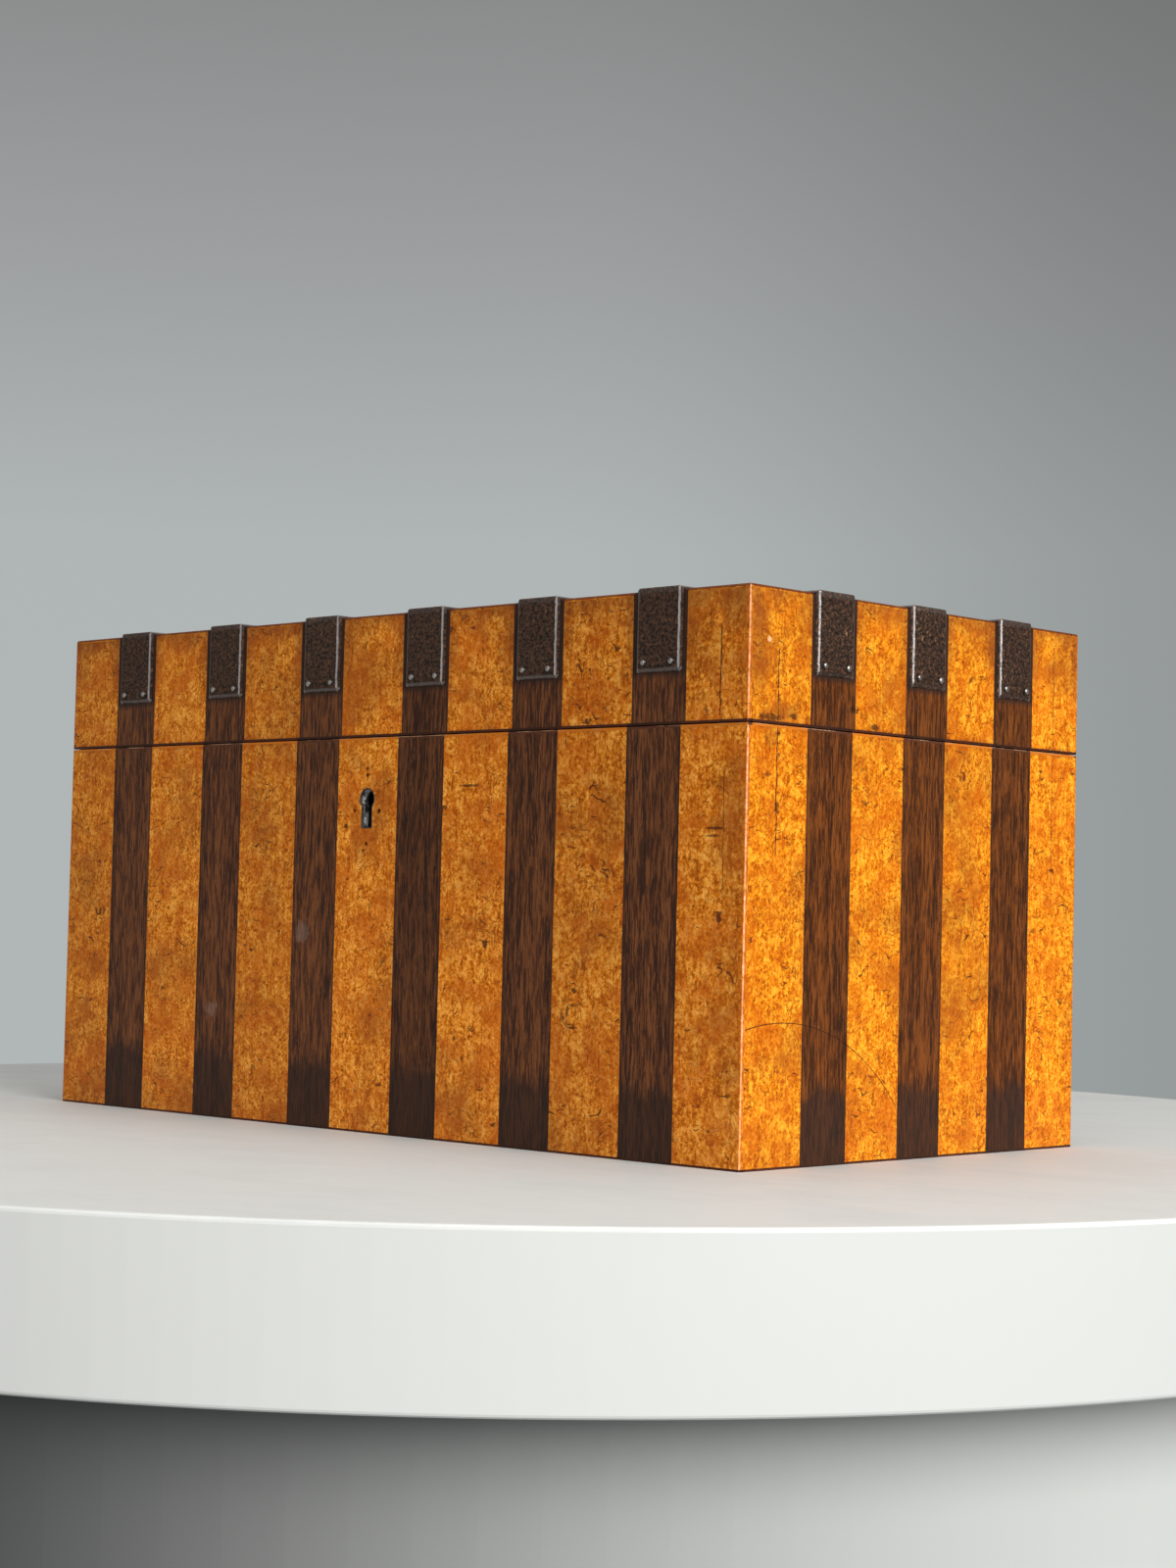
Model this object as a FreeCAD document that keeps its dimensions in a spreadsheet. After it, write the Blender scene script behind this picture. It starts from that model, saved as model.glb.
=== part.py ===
"""Banded lid box with iron straps, in millimetres.

X runs left to right, Y front to back and Z up. The origin is the middle of the underside.
"""
import FreeCAD, Part

import math
import os

import Sketcher
from FreeCAD import Placement, Rotation, Vector

# Driving dimensions: alias, value, what it sets.
SIZES = [
    ("box_width", 270.0, "outside width of the case"),
    ("box_depth", 139.0, "outside depth of the case"),
    ("base_height", 106.6, "height of the base to its rim"),
    ("lid_height", 33.1, "height of the lid from its rim to its top"),
    ("seam_gap", 0.3, "open seam between base and lid"),
    ("board_thickness", 8.1, "base boards and lid rails"),
    ("bottom_thickness", 7.4, "bottom board"),
    ("top_thickness", 7.1, "top board of the lid"),
    ("veneer_thickness", 0.9, "all veneer leaves"),
    ("facing_thickness", 0.6, "rim facings and underside facing"),
    ("arris_flat", 0.5, "worn flat of the outer arrises"),
    ("lining_thickness", 0.6, "cloth on the floor"),
    ("lining_clearance", 0.4, "lining to the walls"),
    ("base_tails", 4, "dovetails at each corner of the base"),
    ("lid_tails", 2, "dovetails at each corner of the lid"),
    ("tail_share", 0.62, "wide end of a dovetail as a share of its pitch"),
    ("tail_flare", 1.3, "how much each flank of a dovetail spreads"),
    ("cross_band", 17.9, "width of a rosewood band on front, back and top"),
    ("base_cross_gap", 23.9, "maple between two cross bands, base"),
    ("lid_cross_gap", 24.1, "maple between two cross bands, lid"),
    ("lid_cross_shift", 1.0, "how far the lid's cross bands sit to the right"),
    ("side_band", 17.6, "width of a rosewood band on the sides"),
    ("base_side_gap", 20.8, "maple between two side bands, base"),
    ("lid_side_gap", 20.55, "maple between two side bands, lid"),
    ("lid_side_shift", 0.75, "how far the lid's side bands sit to the back"),
    ("strap_width", 15.1, "foot of an iron strap"),
    ("strap_thickness", 0.8, "plate of an iron strap"),
    ("strap_bevel", 1.0, "width of a strap's bevel"),
    ("strap_bevel_depth", 0.65, "fall of a strap's bevel"),
    ("strap_drop", 20.2, "how far a strap's end hangs below the lid's top"),
    ("strap_corner", 0.6, "clipped corners of a strap's end"),
    ("strap_fold", 0.4, "blunt outside of a strap's folds"),
    ("pin_radius", 1.0, "head of a strap pin"),
    ("pin_crown", 0.6, "height of a strap pin's head"),
    ("pin_tip", 0.55, "flat top of a strap pin's head"),
    ("pin_shank", 0.6, "square shank of a strap pin, middle to corner"),
    ("pin_sides", 8, "facets of a strap pin's head"),
    ("pin_length", 5.0, "shank of a strap pin under its head"),
    ("pin_spacing", 9.2, "between the two pins of a strap end"),
    ("pin_inset", 2.5, "pin centres to the strap's end"),
    ("keyhole_fall", 16.6, "centre of the keyhole's round part below the rim"),
    ("keyhole_radius", 3.0, "round part of the keyhole"),
    ("keyhole_slot", 4.4, "width of the keyhole's slot"),
    ("keyhole_drop", 8.0, "keyhole's centre to its foot"),
    ("nail_hole_radius", 0.5, "nail hole of the lost escutcheon"),
    ("nail_reach_side", 5.0, "side nail holes from the keyhole's middle"),
    ("nail_reach_up", 6.4, "upper nail hole above the keyhole's centre"),
    ("nail_reach_down", 12.1, "lower nail hole below the keyhole's centre"),
    ("nail_side_drop", 3.2, "side nail holes below the keyhole's centre"),
    ("selvedge_length", 60.0, "lock selvedge and link plate"),
    ("selvedge_thickness", 1.6, "lock selvedge"),
    ("case_width", 44.0, "lock case"),
    ("case_margin", 1.4, "lock case below the keyhole's foot"),
    ("case_wall", 1.0, "side and bottom walls of the lock case"),
    ("case_face", 0.9, "face plate of the lock case"),
    ("case_hollow", 4.6, "inside of the lock case, front to back"),
    ("cover_thickness", 1.0, "cover plate of the lock"),
    ("cover_screw_inset", 4.9, "cover screws to the cover's upper and lower ends"),
    ("cover_screw_length", 5.6, "cover screws with their heads"),
    ("shelf_length", 8.0, "shelves that the bolt slides on"),
    ("shelf_thickness", 1.2, "shelves that the bolt slides on"),
    ("drill_pin_radius", 1.1, "drill pin of the lock"),
    ("drill_pin_setback", 4.3, "tip of the drill pin behind the front face"),
    ("bolt_travel", 4.5, "throw of the lock bolt"),
    ("bolt_bar_height", 2.8, "bar of the lock bolt"),
    ("bolt_clearance", 0.2, "bolt to the case and to its shelves"),
    ("bolt_upright", 2.4, "width of the uprights that carry the fingers"),
    ("finger_length", 4.4, "fingers of the lock bolt"),
    ("finger_height", 2.0, "fingers of the lock bolt"),
    ("finger_thickness", 1.0, "fingers of the lock bolt, front to back"),
    ("bolt_tail", 5.5, "bar beyond the right finger"),
    ("talon_width", 5.5, "notch for the key's bit"),
    ("talon_depth", 1.3, "notch for the key's bit"),
    ("spring_thickness", 0.4, "leaf of the bolt spring"),
    ("spring_hold", 5.0, "end of the bolt spring under the selvedge"),
    ("spring_ramp", 3.0, "sloping run of the bolt spring"),
    ("spring_toe", 1.5, "free end of the bolt spring"),
    ("spring_gap", 1.0, "bolt spring to the right hook"),
    ("link_reach", 12.0, "links from the lock's middle"),
    ("link_width", 2.2, "links, left to right"),
    ("link_depth", 3.4, "links, front to back"),
    ("link_length", 7.3, "links below their plate"),
    ("link_plate_thickness", 1.5, "link plate"),
    ("link_float", 1.0, "feet of the links above the bolt's bar"),
    ("link_play", 0.6, "links to the slots of the selvedge"),
    ("eye_play", 0.4, "bolt fingers to the eyes of the links"),
    ("eye_floor", 1.6, "metal below the eye of a link"),
    ("hinge_inset", 53.0, "hinge middles from the ends of the case"),
    ("hinge_length", 38.0, "hinges"),
    ("leaf_thickness", 1.4, "hinge leaves"),
    ("leaf_inset", 1.5, "hinge leaves to the inner face of the wall"),
    ("knuckle_radius", 2.4, "hinge knuckles"),
    ("knuckle_setback", 2.6, "hinge axis behind the case"),
    ("knuckle_count", 3, "knuckles of a hinge"),
    ("knuckle_play", 0.15, "between neighbouring knuckles"),
    ("hinge_pin_radius", 0.9, "hinge pins"),
    ("hinge_pin_play", 0.05, "hinge pins to their bores"),
    ("knuckle_relief", 0.3, "notches of a leaf to the other leaf's knuckles"),
    ("stop_angle", 98.0, "opening of the lid at its stop, in degrees"),
    ("stop_play", 0.05, "stop shoulders to the leaf that lands on them"),
    ("shoulder_start", 0.5, "stop shoulder's near side behind the axis"),
    ("shoulder_end", 1.8, "stop shoulder's far side behind the axis"),
    ("screw_head", 1.9, "head radius of all wood screws"),
    ("screw_head_depth", 1.1, "countersink of all wood screws"),
    ("screw_shank", 0.9, "shank radius of all wood screws"),
    ("screw_length", 7.0, "wood screws with their heads"),
    ("screw_spread", 12.0, "outer hinge screws from the hinge's middle"),
    ("screw_sides", 8, "facets of all wood screws"),
]


class Dim:
    """A number together with the expression that the document keeps for it."""

    def __init__(self, value, text):
        self.value = float(value)
        self.text = text

    @staticmethod
    def of(other):
        if isinstance(other, Dim):
            return other
        return Dim(other, repr(float(other)))

    def join(self, sign, other, value):
        return Dim(value, f"({self.text} {sign} {other.text})")

    def __add__(self, other):
        other = Dim.of(other)
        return self.join("+", other, self.value + other.value)

    def __sub__(self, other):
        other = Dim.of(other)
        return self.join("-", other, self.value - other.value)

    def __mul__(self, other):
        other = Dim.of(other)
        return self.join("*", other, self.value * other.value)

    def __truediv__(self, other):
        other = Dim.of(other)
        return self.join("/", other, self.value / other.value)

    def __radd__(self, other):
        return Dim.of(other) + self

    def __rsub__(self, other):
        return Dim.of(other) - self

    def __rmul__(self, other):
        return Dim.of(other) * self

    def __neg__(self):
        return Dim(-self.value, f"(0 - {self.text})")


def sine(angle):
    return Dim(math.sin(math.radians(angle.value)), f"sin({angle.text})")


def cosine(angle):
    return Dim(math.cos(math.radians(angle.value)), f"cos({angle.text})")


class Sizes:
    """The driving dimensions, by alias."""

    def __init__(self, rows):
        for alias, value, _ in rows:
            setattr(self, alias, Dim(value, f"Sizes.{alias}"))


def fill_sheet(doc, rows):
    """Write every driving dimension into the sheet, one row each."""
    sheet = doc.addObject("Spreadsheet::Sheet", "Sizes")
    for number, (alias, value, note) in enumerate(rows, start=1):
        sheet.set(f"A{number}", note)
        sheet.set(f"B{number}", str(value))
        sheet.setAlias(f"B{number}", alias)
    doc.recompute()


doc = FreeCAD.newDocument("StrappedBox")
fill_sheet(doc, SIZES)
s = Sizes(SIZES)
nodes = []

TURNS = {
    "X": Rotation(Vector(0, 1, 0), 90),
    "Y": Rotation(Vector(1, 0, 0), -90),
    "Z": Rotation(),
}


def bind(item, name, dim):
    item.setExpression(name, Dim.of(dim).text)


def seat(item, place, axis="Z"):
    """Put a primitive at a place, with its own Z along the given axis."""
    item.Placement = Placement(Vector(*[Dim.of(value).value for value in place]), TURNS[axis])
    for letter, value in zip("xyz", place):
        bind(item, f"Placement.Base.{letter}", value)


def along(axis, low, first, second):
    """Order a place by axis: its start along the axis, then the other two coordinates."""
    if axis == "X":
        return (low, first, second)
    if axis == "Y":
        return (first, low, second)
    return (first, second, low)


def block(name, x, y, z):
    """A box between pairs of low and high coordinates."""
    box = doc.addObject("Part::Box", name)
    bind(box, "Length", x[1] - x[0])
    bind(box, "Width", y[1] - y[0])
    bind(box, "Height", z[1] - z[0])
    seat(box, (x[0], y[0], z[0]))
    return box


def rod(name, axis, span, first, second, radius):
    """A cylinder along an axis, with its other two coordinates in order."""
    cylinder = doc.addObject("Part::Cylinder", name)
    bind(cylinder, "Radius", radius)
    bind(cylinder, "Height", span[1] - span[0])
    seat(cylinder, along(axis, span[0], first, second), axis)
    return cylinder


def facets(name, axis, span, first, second, radii, sides):
    """A many-sided taper along an axis, for small fasteners and their holes.

    Its radii, low end first, run from the middle to a corner.
    """
    rings = []
    for end, radius in zip(span, radii):
        ring = doc.addObject("Part::RegularPolygon", f"{name}_ring_{len(rings) + 1}")
        bind(ring, "Polygon", sides)
        bind(ring, "Circumradius", radius)
        seat(ring, along(axis, end, first, second), axis)
        rings.append(ring)
    taper = doc.addObject("Part::Loft", name)
    taper.Sections = rings
    taper.Solid = True
    taper.Ruled = True
    taper.Linearize = True
    return taper


def group(name, items):
    compound = doc.addObject("Part::Compound", name)
    compound.Links = items
    return compound


def fuse(name, items):
    joined = doc.addObject("Part::MultiFuse", name)
    joined.Shapes = items
    return joined


def cut(name, base, tool):
    piece = doc.addObject("Part::Cut", name)
    piece.Base = base
    piece.Tool = tool
    return piece


def common(name, first, second):
    piece = doc.addObject("Part::Common", name)
    piece.Base = first
    piece.Tool = second
    return piece


def node(label, item):
    """Name a finished piece and list it for export."""
    item.Label = label
    if item.Label != label:
        raise RuntimeError(f"the name {label} is taken")
    nodes.append(item)
    return item


def origin_plane(body, role):
    return [plane for plane in body.Origin.OriginFeatures if plane.Role == role][0]


def outline(body, name, plane, points, offset):
    """A closed sketch of straight lines on one of the body's origin planes.

    Every corner is held by its two distances from the origin.
    """
    sketch = body.newObject("Sketcher::SketchObject", name)
    sketch.AttachmentSupport = [(origin_plane(body, plane + "_Plane"), "")]
    sketch.MapMode = "FlatFace"
    sketch.AttachmentOffset = Placement(Vector(0, 0, Dim.of(offset).value), Rotation())
    bind(sketch, "AttachmentOffset.Base.z", offset)
    corners = [(Dim.of(first), Dim.of(second)) for first, second in points]
    spots = [Vector(first.value, second.value, 0) for first, second in corners]
    count = len(spots)
    for index in range(count):
        sketch.addGeometry(Part.LineSegment(spots[index], spots[(index + 1) % count]), False)
    for index in range(count):
        sketch.addConstraint(Sketcher.Constraint("Coincident", index, 2, (index + 1) % count, 1))
    for index, (first, second) in enumerate(corners):
        for kind, dim in (("DistanceX", first), ("DistanceY", second)):
            number = sketch.addConstraint(Sketcher.Constraint(kind, -1, 1, index, 1, dim.value))
            sketch.setExpression(f"Constraints[{number}]", dim.text)
    return sketch


def prism(name, plane, points, low, high):
    """A body padded from an outline, between two coordinates along the plane's normal.

    The XZ plane looks towards -Y, so its pad starts at the high coordinate.
    """
    body = doc.addObject("PartDesign::Body", name)
    start = -high if plane == "XZ" else low
    sketch = outline(body, name + "_outline", plane, points, start)
    pad = body.newObject("PartDesign::Pad", name + "_pad")
    pad.Profile = sketch
    bind(pad, "Length", high - low)
    body.Tip = pad
    return body


def trim(body, kind, name, edges, **values):
    """Add a fillet or chamfer on edges that are picked by their place."""
    doc.recompute()
    base = body.Tip
    names = [f"Edge{number}" for number, edge in enumerate(base.Shape.Edges, start=1) if edges(edge)]
    feature = body.newObject("PartDesign::" + kind, name)
    feature.Base = (base, names)
    if kind == "Chamfer":
        feature.ChamferType = "Two distances"
    for key, dim in values.items():
        bind(feature, key, dim)
    body.Tip = feature
    return feature


def near(first, second):
    return abs(first - second) < 1e-6


# Planes that more than one piece takes its place from.
half_width = s.box_width / 2
half_depth = s.box_depth / 2
core_x = half_width - s.veneer_thickness
core_y = half_depth - s.veneer_thickness
inner_x = core_x - s.board_thickness
inner_y = core_y - s.board_thickness
base_core_top = s.base_height - s.facing_thickness
lid_foot = s.base_height + s.seam_gap
lid_core_foot = lid_foot + s.facing_thickness
lid_top = lid_foot + s.lid_height
lid_core_top = lid_top - s.veneer_thickness
rail_top = lid_core_top - s.top_thickness
floor_top = s.facing_thickness + s.bottom_thickness
keyhole_z = s.base_height - s.keyhole_fall
axis_y = half_depth + s.knuckle_setback
axis_z = s.base_height + s.seam_gap / 2


def worn_outline():
    """The whole case as one block with its arrises worn."""
    body = prism(
        "worn_block",
        "XY",
        [
            (-half_width, -half_depth),
            (half_width, -half_depth),
            (half_width, half_depth),
            (-half_width, half_depth),
        ],
        Dim.of(0),
        lid_top,
    )

    def upright_or_top(edge):
        box = edge.BoundBox
        upright = box.ZLength > s.base_height.value
        return upright or near(box.ZMin, lid_top.value)

    trim(body, "Chamfer", "worn_arrises", upright_or_top, Size=s.arris_flat, Size2=s.arris_flat)
    return body


# Bands and leaves

def band_spans(count, band, gap, shift):
    """Low and high coordinates of equal bands, centred on the shift."""
    pitch = band + gap
    first = shift - pitch * (count - 1) / 2
    middles = [first + pitch * index for index in range(count)]
    return [(middle - band / 2, middle + band / 2) for middle in middles]


def gap_spans(bands, low, high):
    """What the bands leave free between two ends."""
    starts = [low] + [band[1] for band in bands]
    ends = [band[0] for band in bands] + [high]
    return list(zip(starts, ends))


CROSS_COUNT = 6
SIDE_COUNT = 3
base_cross = band_spans(CROSS_COUNT, s.cross_band, s.base_cross_gap, Dim.of(0))
lid_cross = band_spans(CROSS_COUNT, s.cross_band, s.lid_cross_gap, s.lid_cross_shift)
base_side = band_spans(SIDE_COUNT, s.side_band, s.base_side_gap, Dim.of(0))
lid_side = band_spans(SIDE_COUNT, s.side_band, s.lid_side_gap, s.lid_side_shift)


def front_leaves(name, spans, side, z):
    """Leaves on the front (side -1) or back (side 1), over the corners."""
    y = (core_y, half_depth) if side > 0 else (-half_depth, -core_y)
    return [block(f"{name}_{number}", span, y, z) for number, span in enumerate(spans, start=1)]


def side_leaves(name, spans, side, z):
    """Leaves on the left (side -1) or right (side 1), between front and back."""
    x = (core_x, half_width) if side > 0 else (-half_width, -core_x)
    return [block(f"{name}_{number}", x, span, z) for number, span in enumerate(spans, start=1)]


def keyhole_tool(name, y):
    """Round hole with a straight slot below it."""
    half_slot = s.keyhole_slot / 2
    slot = block(
        name + "_slot",
        (-half_slot, half_slot),
        y,
        (keyhole_z - s.keyhole_drop, keyhole_z),
    )
    return fuse(name, [slot, rod(name + "_round", "Y", y, Dim.of(0), keyhole_z, s.keyhole_radius)])


def nail_holes():
    """Four holes left by the lost escutcheon."""
    spots = [
        (Dim.of(0), keyhole_z + s.nail_reach_up),
        (-s.nail_reach_side, keyhole_z - s.nail_side_drop),
        (s.nail_reach_side, keyhole_z - s.nail_side_drop),
        (Dim.of(0), keyhole_z - s.nail_reach_down),
    ]
    span = (-half_depth, -core_y)
    radii = (s.nail_hole_radius, s.nail_hole_radius)
    return [
        facets(f"nail_hole_{number}", "Y", span, x, z, radii, s.pin_sides)
        for number, (x, z) in enumerate(spots, start=1)
    ]


# Joinery

def tail_flanks(count, low, high):
    """Root and tip heights of each dovetail between two heights."""
    pitch = (high - low) / count
    half_tip = pitch * s.tail_share / 2
    half_root = half_tip - s.tail_flare
    for index in range(int(count.value)):
        middle = low + pitch * (index + 0.5)
        yield middle - half_root, middle - half_tip, middle + half_tip, middle + half_root


def tail_board(name, side, count, low, high):
    """Left or right board with dovetails at both ends, drawn in its own face."""
    front = []
    back = []
    for root_low, tip_low, tip_high, root_high in tail_flanks(count, low, high):
        back += [(inner_y, root_low), (core_y, tip_low), (core_y, tip_high), (inner_y, root_high)]
        front += [(-inner_y, root_low), (-core_y, tip_low), (-core_y, tip_high), (-inner_y, root_high)]
    points = [(-inner_y, low), (inner_y, low)] + back + [(inner_y, high), (-inner_y, high)] + front[::-1]
    x = (inner_x, core_x) if side > 0 else (-core_x, -inner_x)
    return prism(name, "YZ", points, x[0], x[1])


def sockets(name, side, count, low, high):
    """The dovetails of both ends of a front or back board, as cutting tools."""
    near_y, far_y = (inner_y, core_y) if side > 0 else (-inner_y, -core_y)
    tools = []
    for number, flank in enumerate(tail_flanks(count, low, high), start=1):
        root_low, tip_low, tip_high, root_high = flank
        points = [(near_y, root_low), (far_y, tip_low), (far_y, tip_high), (near_y, root_high)]
        tools.append(prism(f"{name}_left_{number}", "YZ", points, -core_x, -inner_x))
        tools.append(prism(f"{name}_right_{number}", "YZ", points, inner_x, core_x))
    return tools


def socket_board(name, side, z, tools):
    """Front or back board, less its dovetail sockets and any other cuts."""
    y = (inner_y, core_y) if side > 0 else (-core_y, -inner_y)
    board = block(name + "_blank", (-core_x, core_x), y, z)
    return cut(name, board, group(name + "_cuts", tools))


# Hinges

def hinge_places():
    reach = half_width - s.hinge_inset
    return [("left", -reach), ("right", reach)]


def hinge_x(middle):
    return (middle - s.hinge_length / 2, middle + s.hinge_length / 2)


leaf_y = (inner_y + s.leaf_inset, axis_y - s.knuckle_radius - s.knuckle_relief)
base_leaf_z = (s.base_height - s.leaf_thickness, s.base_height)
lid_leaf_z = (lid_foot, lid_foot + s.leaf_thickness)


def mortise(name, middle, z):
    """Room for a hinge leaf in the rim, open at the back."""
    return block(name, hinge_x(middle), (leaf_y[0], half_depth), z)


def knuckle_spans(middle, first):
    """Every other knuckle of a hinge, beginning with the first or second."""
    pitch = s.hinge_length / s.knuckle_count
    start = middle - s.hinge_length / 2
    for index in range(first, int(s.knuckle_count.value), 2):
        low = start + pitch * index + s.knuckle_play / 2
        yield low, low + pitch - s.knuckle_play


def shoulder_points(up):
    """Stop shoulder's section: its top meets the other leaf's edge at the stop angle."""
    reach = s.knuckle_radius + s.knuckle_relief - s.stop_play

    def height(back):
        return (reach + cosine(s.stop_angle) * back) / sine(s.stop_angle)

    near_side = s.shoulder_start
    far_side = s.shoulder_end
    corners = [
        (near_side, Dim.of(0)),
        (near_side, height(near_side)),
        (far_side, height(far_side)),
        (far_side, Dim.of(0)),
    ]
    return [(axis_y + back, axis_z + rise if up else axis_z - rise) for back, rise in corners]


def wood_screw(name, axis, first, second, face, direction, length):
    """A countersunk screw, with its head flush in a face and its point along the direction."""
    tip = face + direction * length
    neck = face + direction * s.screw_head_depth
    if direction > 0:
        head_span, head_radii, shank_span = (face, neck), (s.screw_head, s.screw_shank), (face, tip)
    else:
        head_span, head_radii, shank_span = (neck, face), (s.screw_shank, s.screw_head), (tip, face)
    head = facets(name + "_head", axis, head_span, first, second, head_radii, s.screw_sides)
    shank_radii = (s.screw_shank, s.screw_shank)
    shank = facets(name + "_shank", axis, shank_span, first, second, shank_radii, s.screw_sides)
    return fuse(name, [head, shank])


def hinge_screws(name, middle, face, direction):
    """Three screws of one leaf."""
    y = (leaf_y[0] + core_y) / 2
    places = [middle - s.screw_spread, middle, middle + s.screw_spread]
    return [
        wood_screw(f"{name}_{number}", "Z", x, y, face, direction, s.screw_length)
        for number, x in enumerate(places, start=1)
    ]


def hinge_leaf(name, middle, z, first, up, screws):
    """One leaf with its knuckles and their stop shoulders, bored for the pin."""
    plate = block(name + "_plate", hinge_x(middle), leaf_y, z)
    solids = [plate]
    for number, span in enumerate(knuckle_spans(middle, first), start=1):
        solids.append(block(f"{name}_tongue_{number}", span, (leaf_y[0], axis_y), z))
        solids.append(rod(f"{name}_knuckle_{number}", "X", span, axis_y, axis_z, s.knuckle_radius))
        solids.append(prism(f"{name}_shoulder_{number}", "YZ", shoulder_points(up), span[0], span[1]))
    bore_radius = s.hinge_pin_radius + s.hinge_pin_play
    bore = rod(name + "_bore", "X", hinge_x(middle), axis_y, axis_z, bore_radius)
    blank = cut(name + "_bored", fuse(name + "_blank", solids), bore)
    return cut(name, blank, group(name + "_countersinks", screws))


# Lock

case_back = -(inner_y + s.cover_thickness)
case_front = case_back - s.case_hollow
lock_front = case_front - s.case_face
lock_middle = (case_back + case_front) / 2
selvedge_foot = s.base_height - s.selvedge_thickness
case_foot = keyhole_z - s.keyhole_drop - s.case_margin
half_selvedge = s.selvedge_length / 2
half_case = s.case_width / 2
half_hollow = half_case - s.case_wall
link_foot = lid_foot - s.link_length
eye_foot = link_foot + s.eye_floor
finger_foot = eye_foot + s.eye_play
finger_top = finger_foot + s.finger_height
bar_top = link_foot - s.link_float
bar_foot = bar_top - s.bolt_bar_height
shelf_top = bar_foot - s.bolt_clearance


def link_places():
    return [("left", -s.link_reach), ("right", s.link_reach)]


def lock_recess():
    """Room for the lock in the front board: case, cover plate and selvedge."""
    cover_z = (case_foot, base_core_top)
    return fuse(
        "lock_recess",
        [
            block("recess_case", (-half_case, half_case), (lock_front, -inner_y), (case_foot, base_core_top)),
            block("recess_cover", (-half_selvedge, half_selvedge), (case_back, -inner_y), cover_z),
            block(
                "recess_selvedge",
                (-half_selvedge, half_selvedge),
                (lock_front, -inner_y),
                (selvedge_foot, base_core_top),
            ),
        ],
    )


def cover_screws():
    """Four screws that hold the cover plate, pointing forward into the board."""
    reach = (half_case + half_selvedge) / 2
    heights = [case_foot + s.cover_screw_inset, selvedge_foot - s.cover_screw_inset]
    screws = []
    for side in (-1, 1):
        for z in heights:
            name = f"cover_screw_{len(screws) + 1}"
            screws.append(wood_screw(name, "Y", reach * side, z, -inner_y, -1, s.cover_screw_length))
    return screws


def lock_case():
    """Case with its selvedge, open at the back, with two shelves for the bolt."""
    shell = block("case_shell", (-half_case, half_case), (lock_front, case_back), (case_foot, selvedge_foot))
    hollow = block(
        "case_hollow_space",
        (-half_hollow, half_hollow),
        (case_front, case_back),
        (case_foot + s.case_wall, selvedge_foot),
    )
    selvedge = block(
        "case_selvedge",
        (-half_selvedge, half_selvedge),
        (lock_front, -inner_y),
        (selvedge_foot, s.base_height),
    )
    shelves = []
    for number, x in enumerate([-half_hollow, half_hollow - s.shelf_length], start=1):
        span = (x, x + s.shelf_length)
        z = (shelf_top - s.shelf_thickness, shelf_top)
        shelves.append(block(f"bolt_shelf_{number}", span, (case_front, case_back), z))
    tray = cut("case_tray", shell, hollow)
    solid = fuse("case_solid", [tray, selvedge] + shelves)
    half_x = s.link_width / 2 + s.link_play
    half_y = s.link_depth / 2 + s.link_play
    slots = []
    for side, middle in link_places():
        slots.append(
            block(
                f"selvedge_slot_{side}",
                (middle - half_x, middle + half_x),
                (lock_middle - half_y, lock_middle + half_y),
                (selvedge_foot, s.base_height),
            )
        )
    keyhole = keyhole_tool("case_keyhole", (lock_front, case_front))
    return cut("lock_case", solid, group("case_openings", slots + [keyhole]))


def hook_roots():
    """Where the two fingers leave their uprights, with the bolt withdrawn."""
    gap = s.link_width / 2 + s.link_play
    return [-s.link_reach - gap - s.finger_length, s.link_reach - gap - s.finger_length]


def lock_bolt():
    """Bar with a talon, two uprights and the two fingers that enter the links."""
    roots = hook_roots()
    left_end = roots[0] - s.bolt_upright
    right_end = roots[1] + s.finger_length + s.bolt_tail
    talon = (-(s.bolt_travel + s.talon_width) / 2, (s.talon_width - s.bolt_travel) / 2)
    points = [
        (left_end, bar_foot),
        (talon[0], bar_foot),
        (talon[0], bar_foot + s.talon_depth),
        (talon[1], bar_foot + s.talon_depth),
        (talon[1], bar_foot),
        (right_end, bar_foot),
        (right_end, bar_top),
        (left_end, bar_top),
    ]
    bar_y = (case_front + s.bolt_clearance, case_back - s.bolt_clearance)
    solids = [prism("bolt_bar", "XZ", points, bar_y[0], bar_y[1])]
    finger_y = (lock_middle - s.finger_thickness / 2, lock_middle + s.finger_thickness / 2)
    hook_foot = bar_top - s.bolt_bar_height / 2
    for number, root in enumerate(roots, start=1):
        hook = [
            (root - s.bolt_upright, hook_foot),
            (root, hook_foot),
            (root, finger_foot),
            (root + s.finger_length, finger_foot),
            (root + s.finger_length, finger_top),
            (root - s.bolt_upright, finger_top),
        ]
        solids.append(prism(f"bolt_hook_{number}", "XZ", hook, finger_y[0], finger_y[1]))
    return fuse("lock_bolt", solids)


def lock_spring():
    """Bent leaf, held under the selvedge, whose free end lies just above the bar."""
    leaf = s.spring_thickness
    toe_low = bar_top + s.bolt_clearance
    end = hook_roots()[1] - s.bolt_upright - s.spring_gap
    toe = end - s.spring_toe
    bend = toe - s.spring_ramp
    start = bend - s.spring_hold
    points = [
        (start, selvedge_foot),
        (start, selvedge_foot - leaf),
        (bend, selvedge_foot - leaf),
        (toe, toe_low),
        (end, toe_low),
        (end, toe_low + leaf),
        (toe + leaf / 2, toe_low + leaf),
        (bend + leaf / 2, selvedge_foot),
    ]
    y = (lock_middle - s.finger_thickness, lock_middle + s.finger_thickness)
    return prism("lock_spring", "XZ", points, y[0], y[1])


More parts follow.
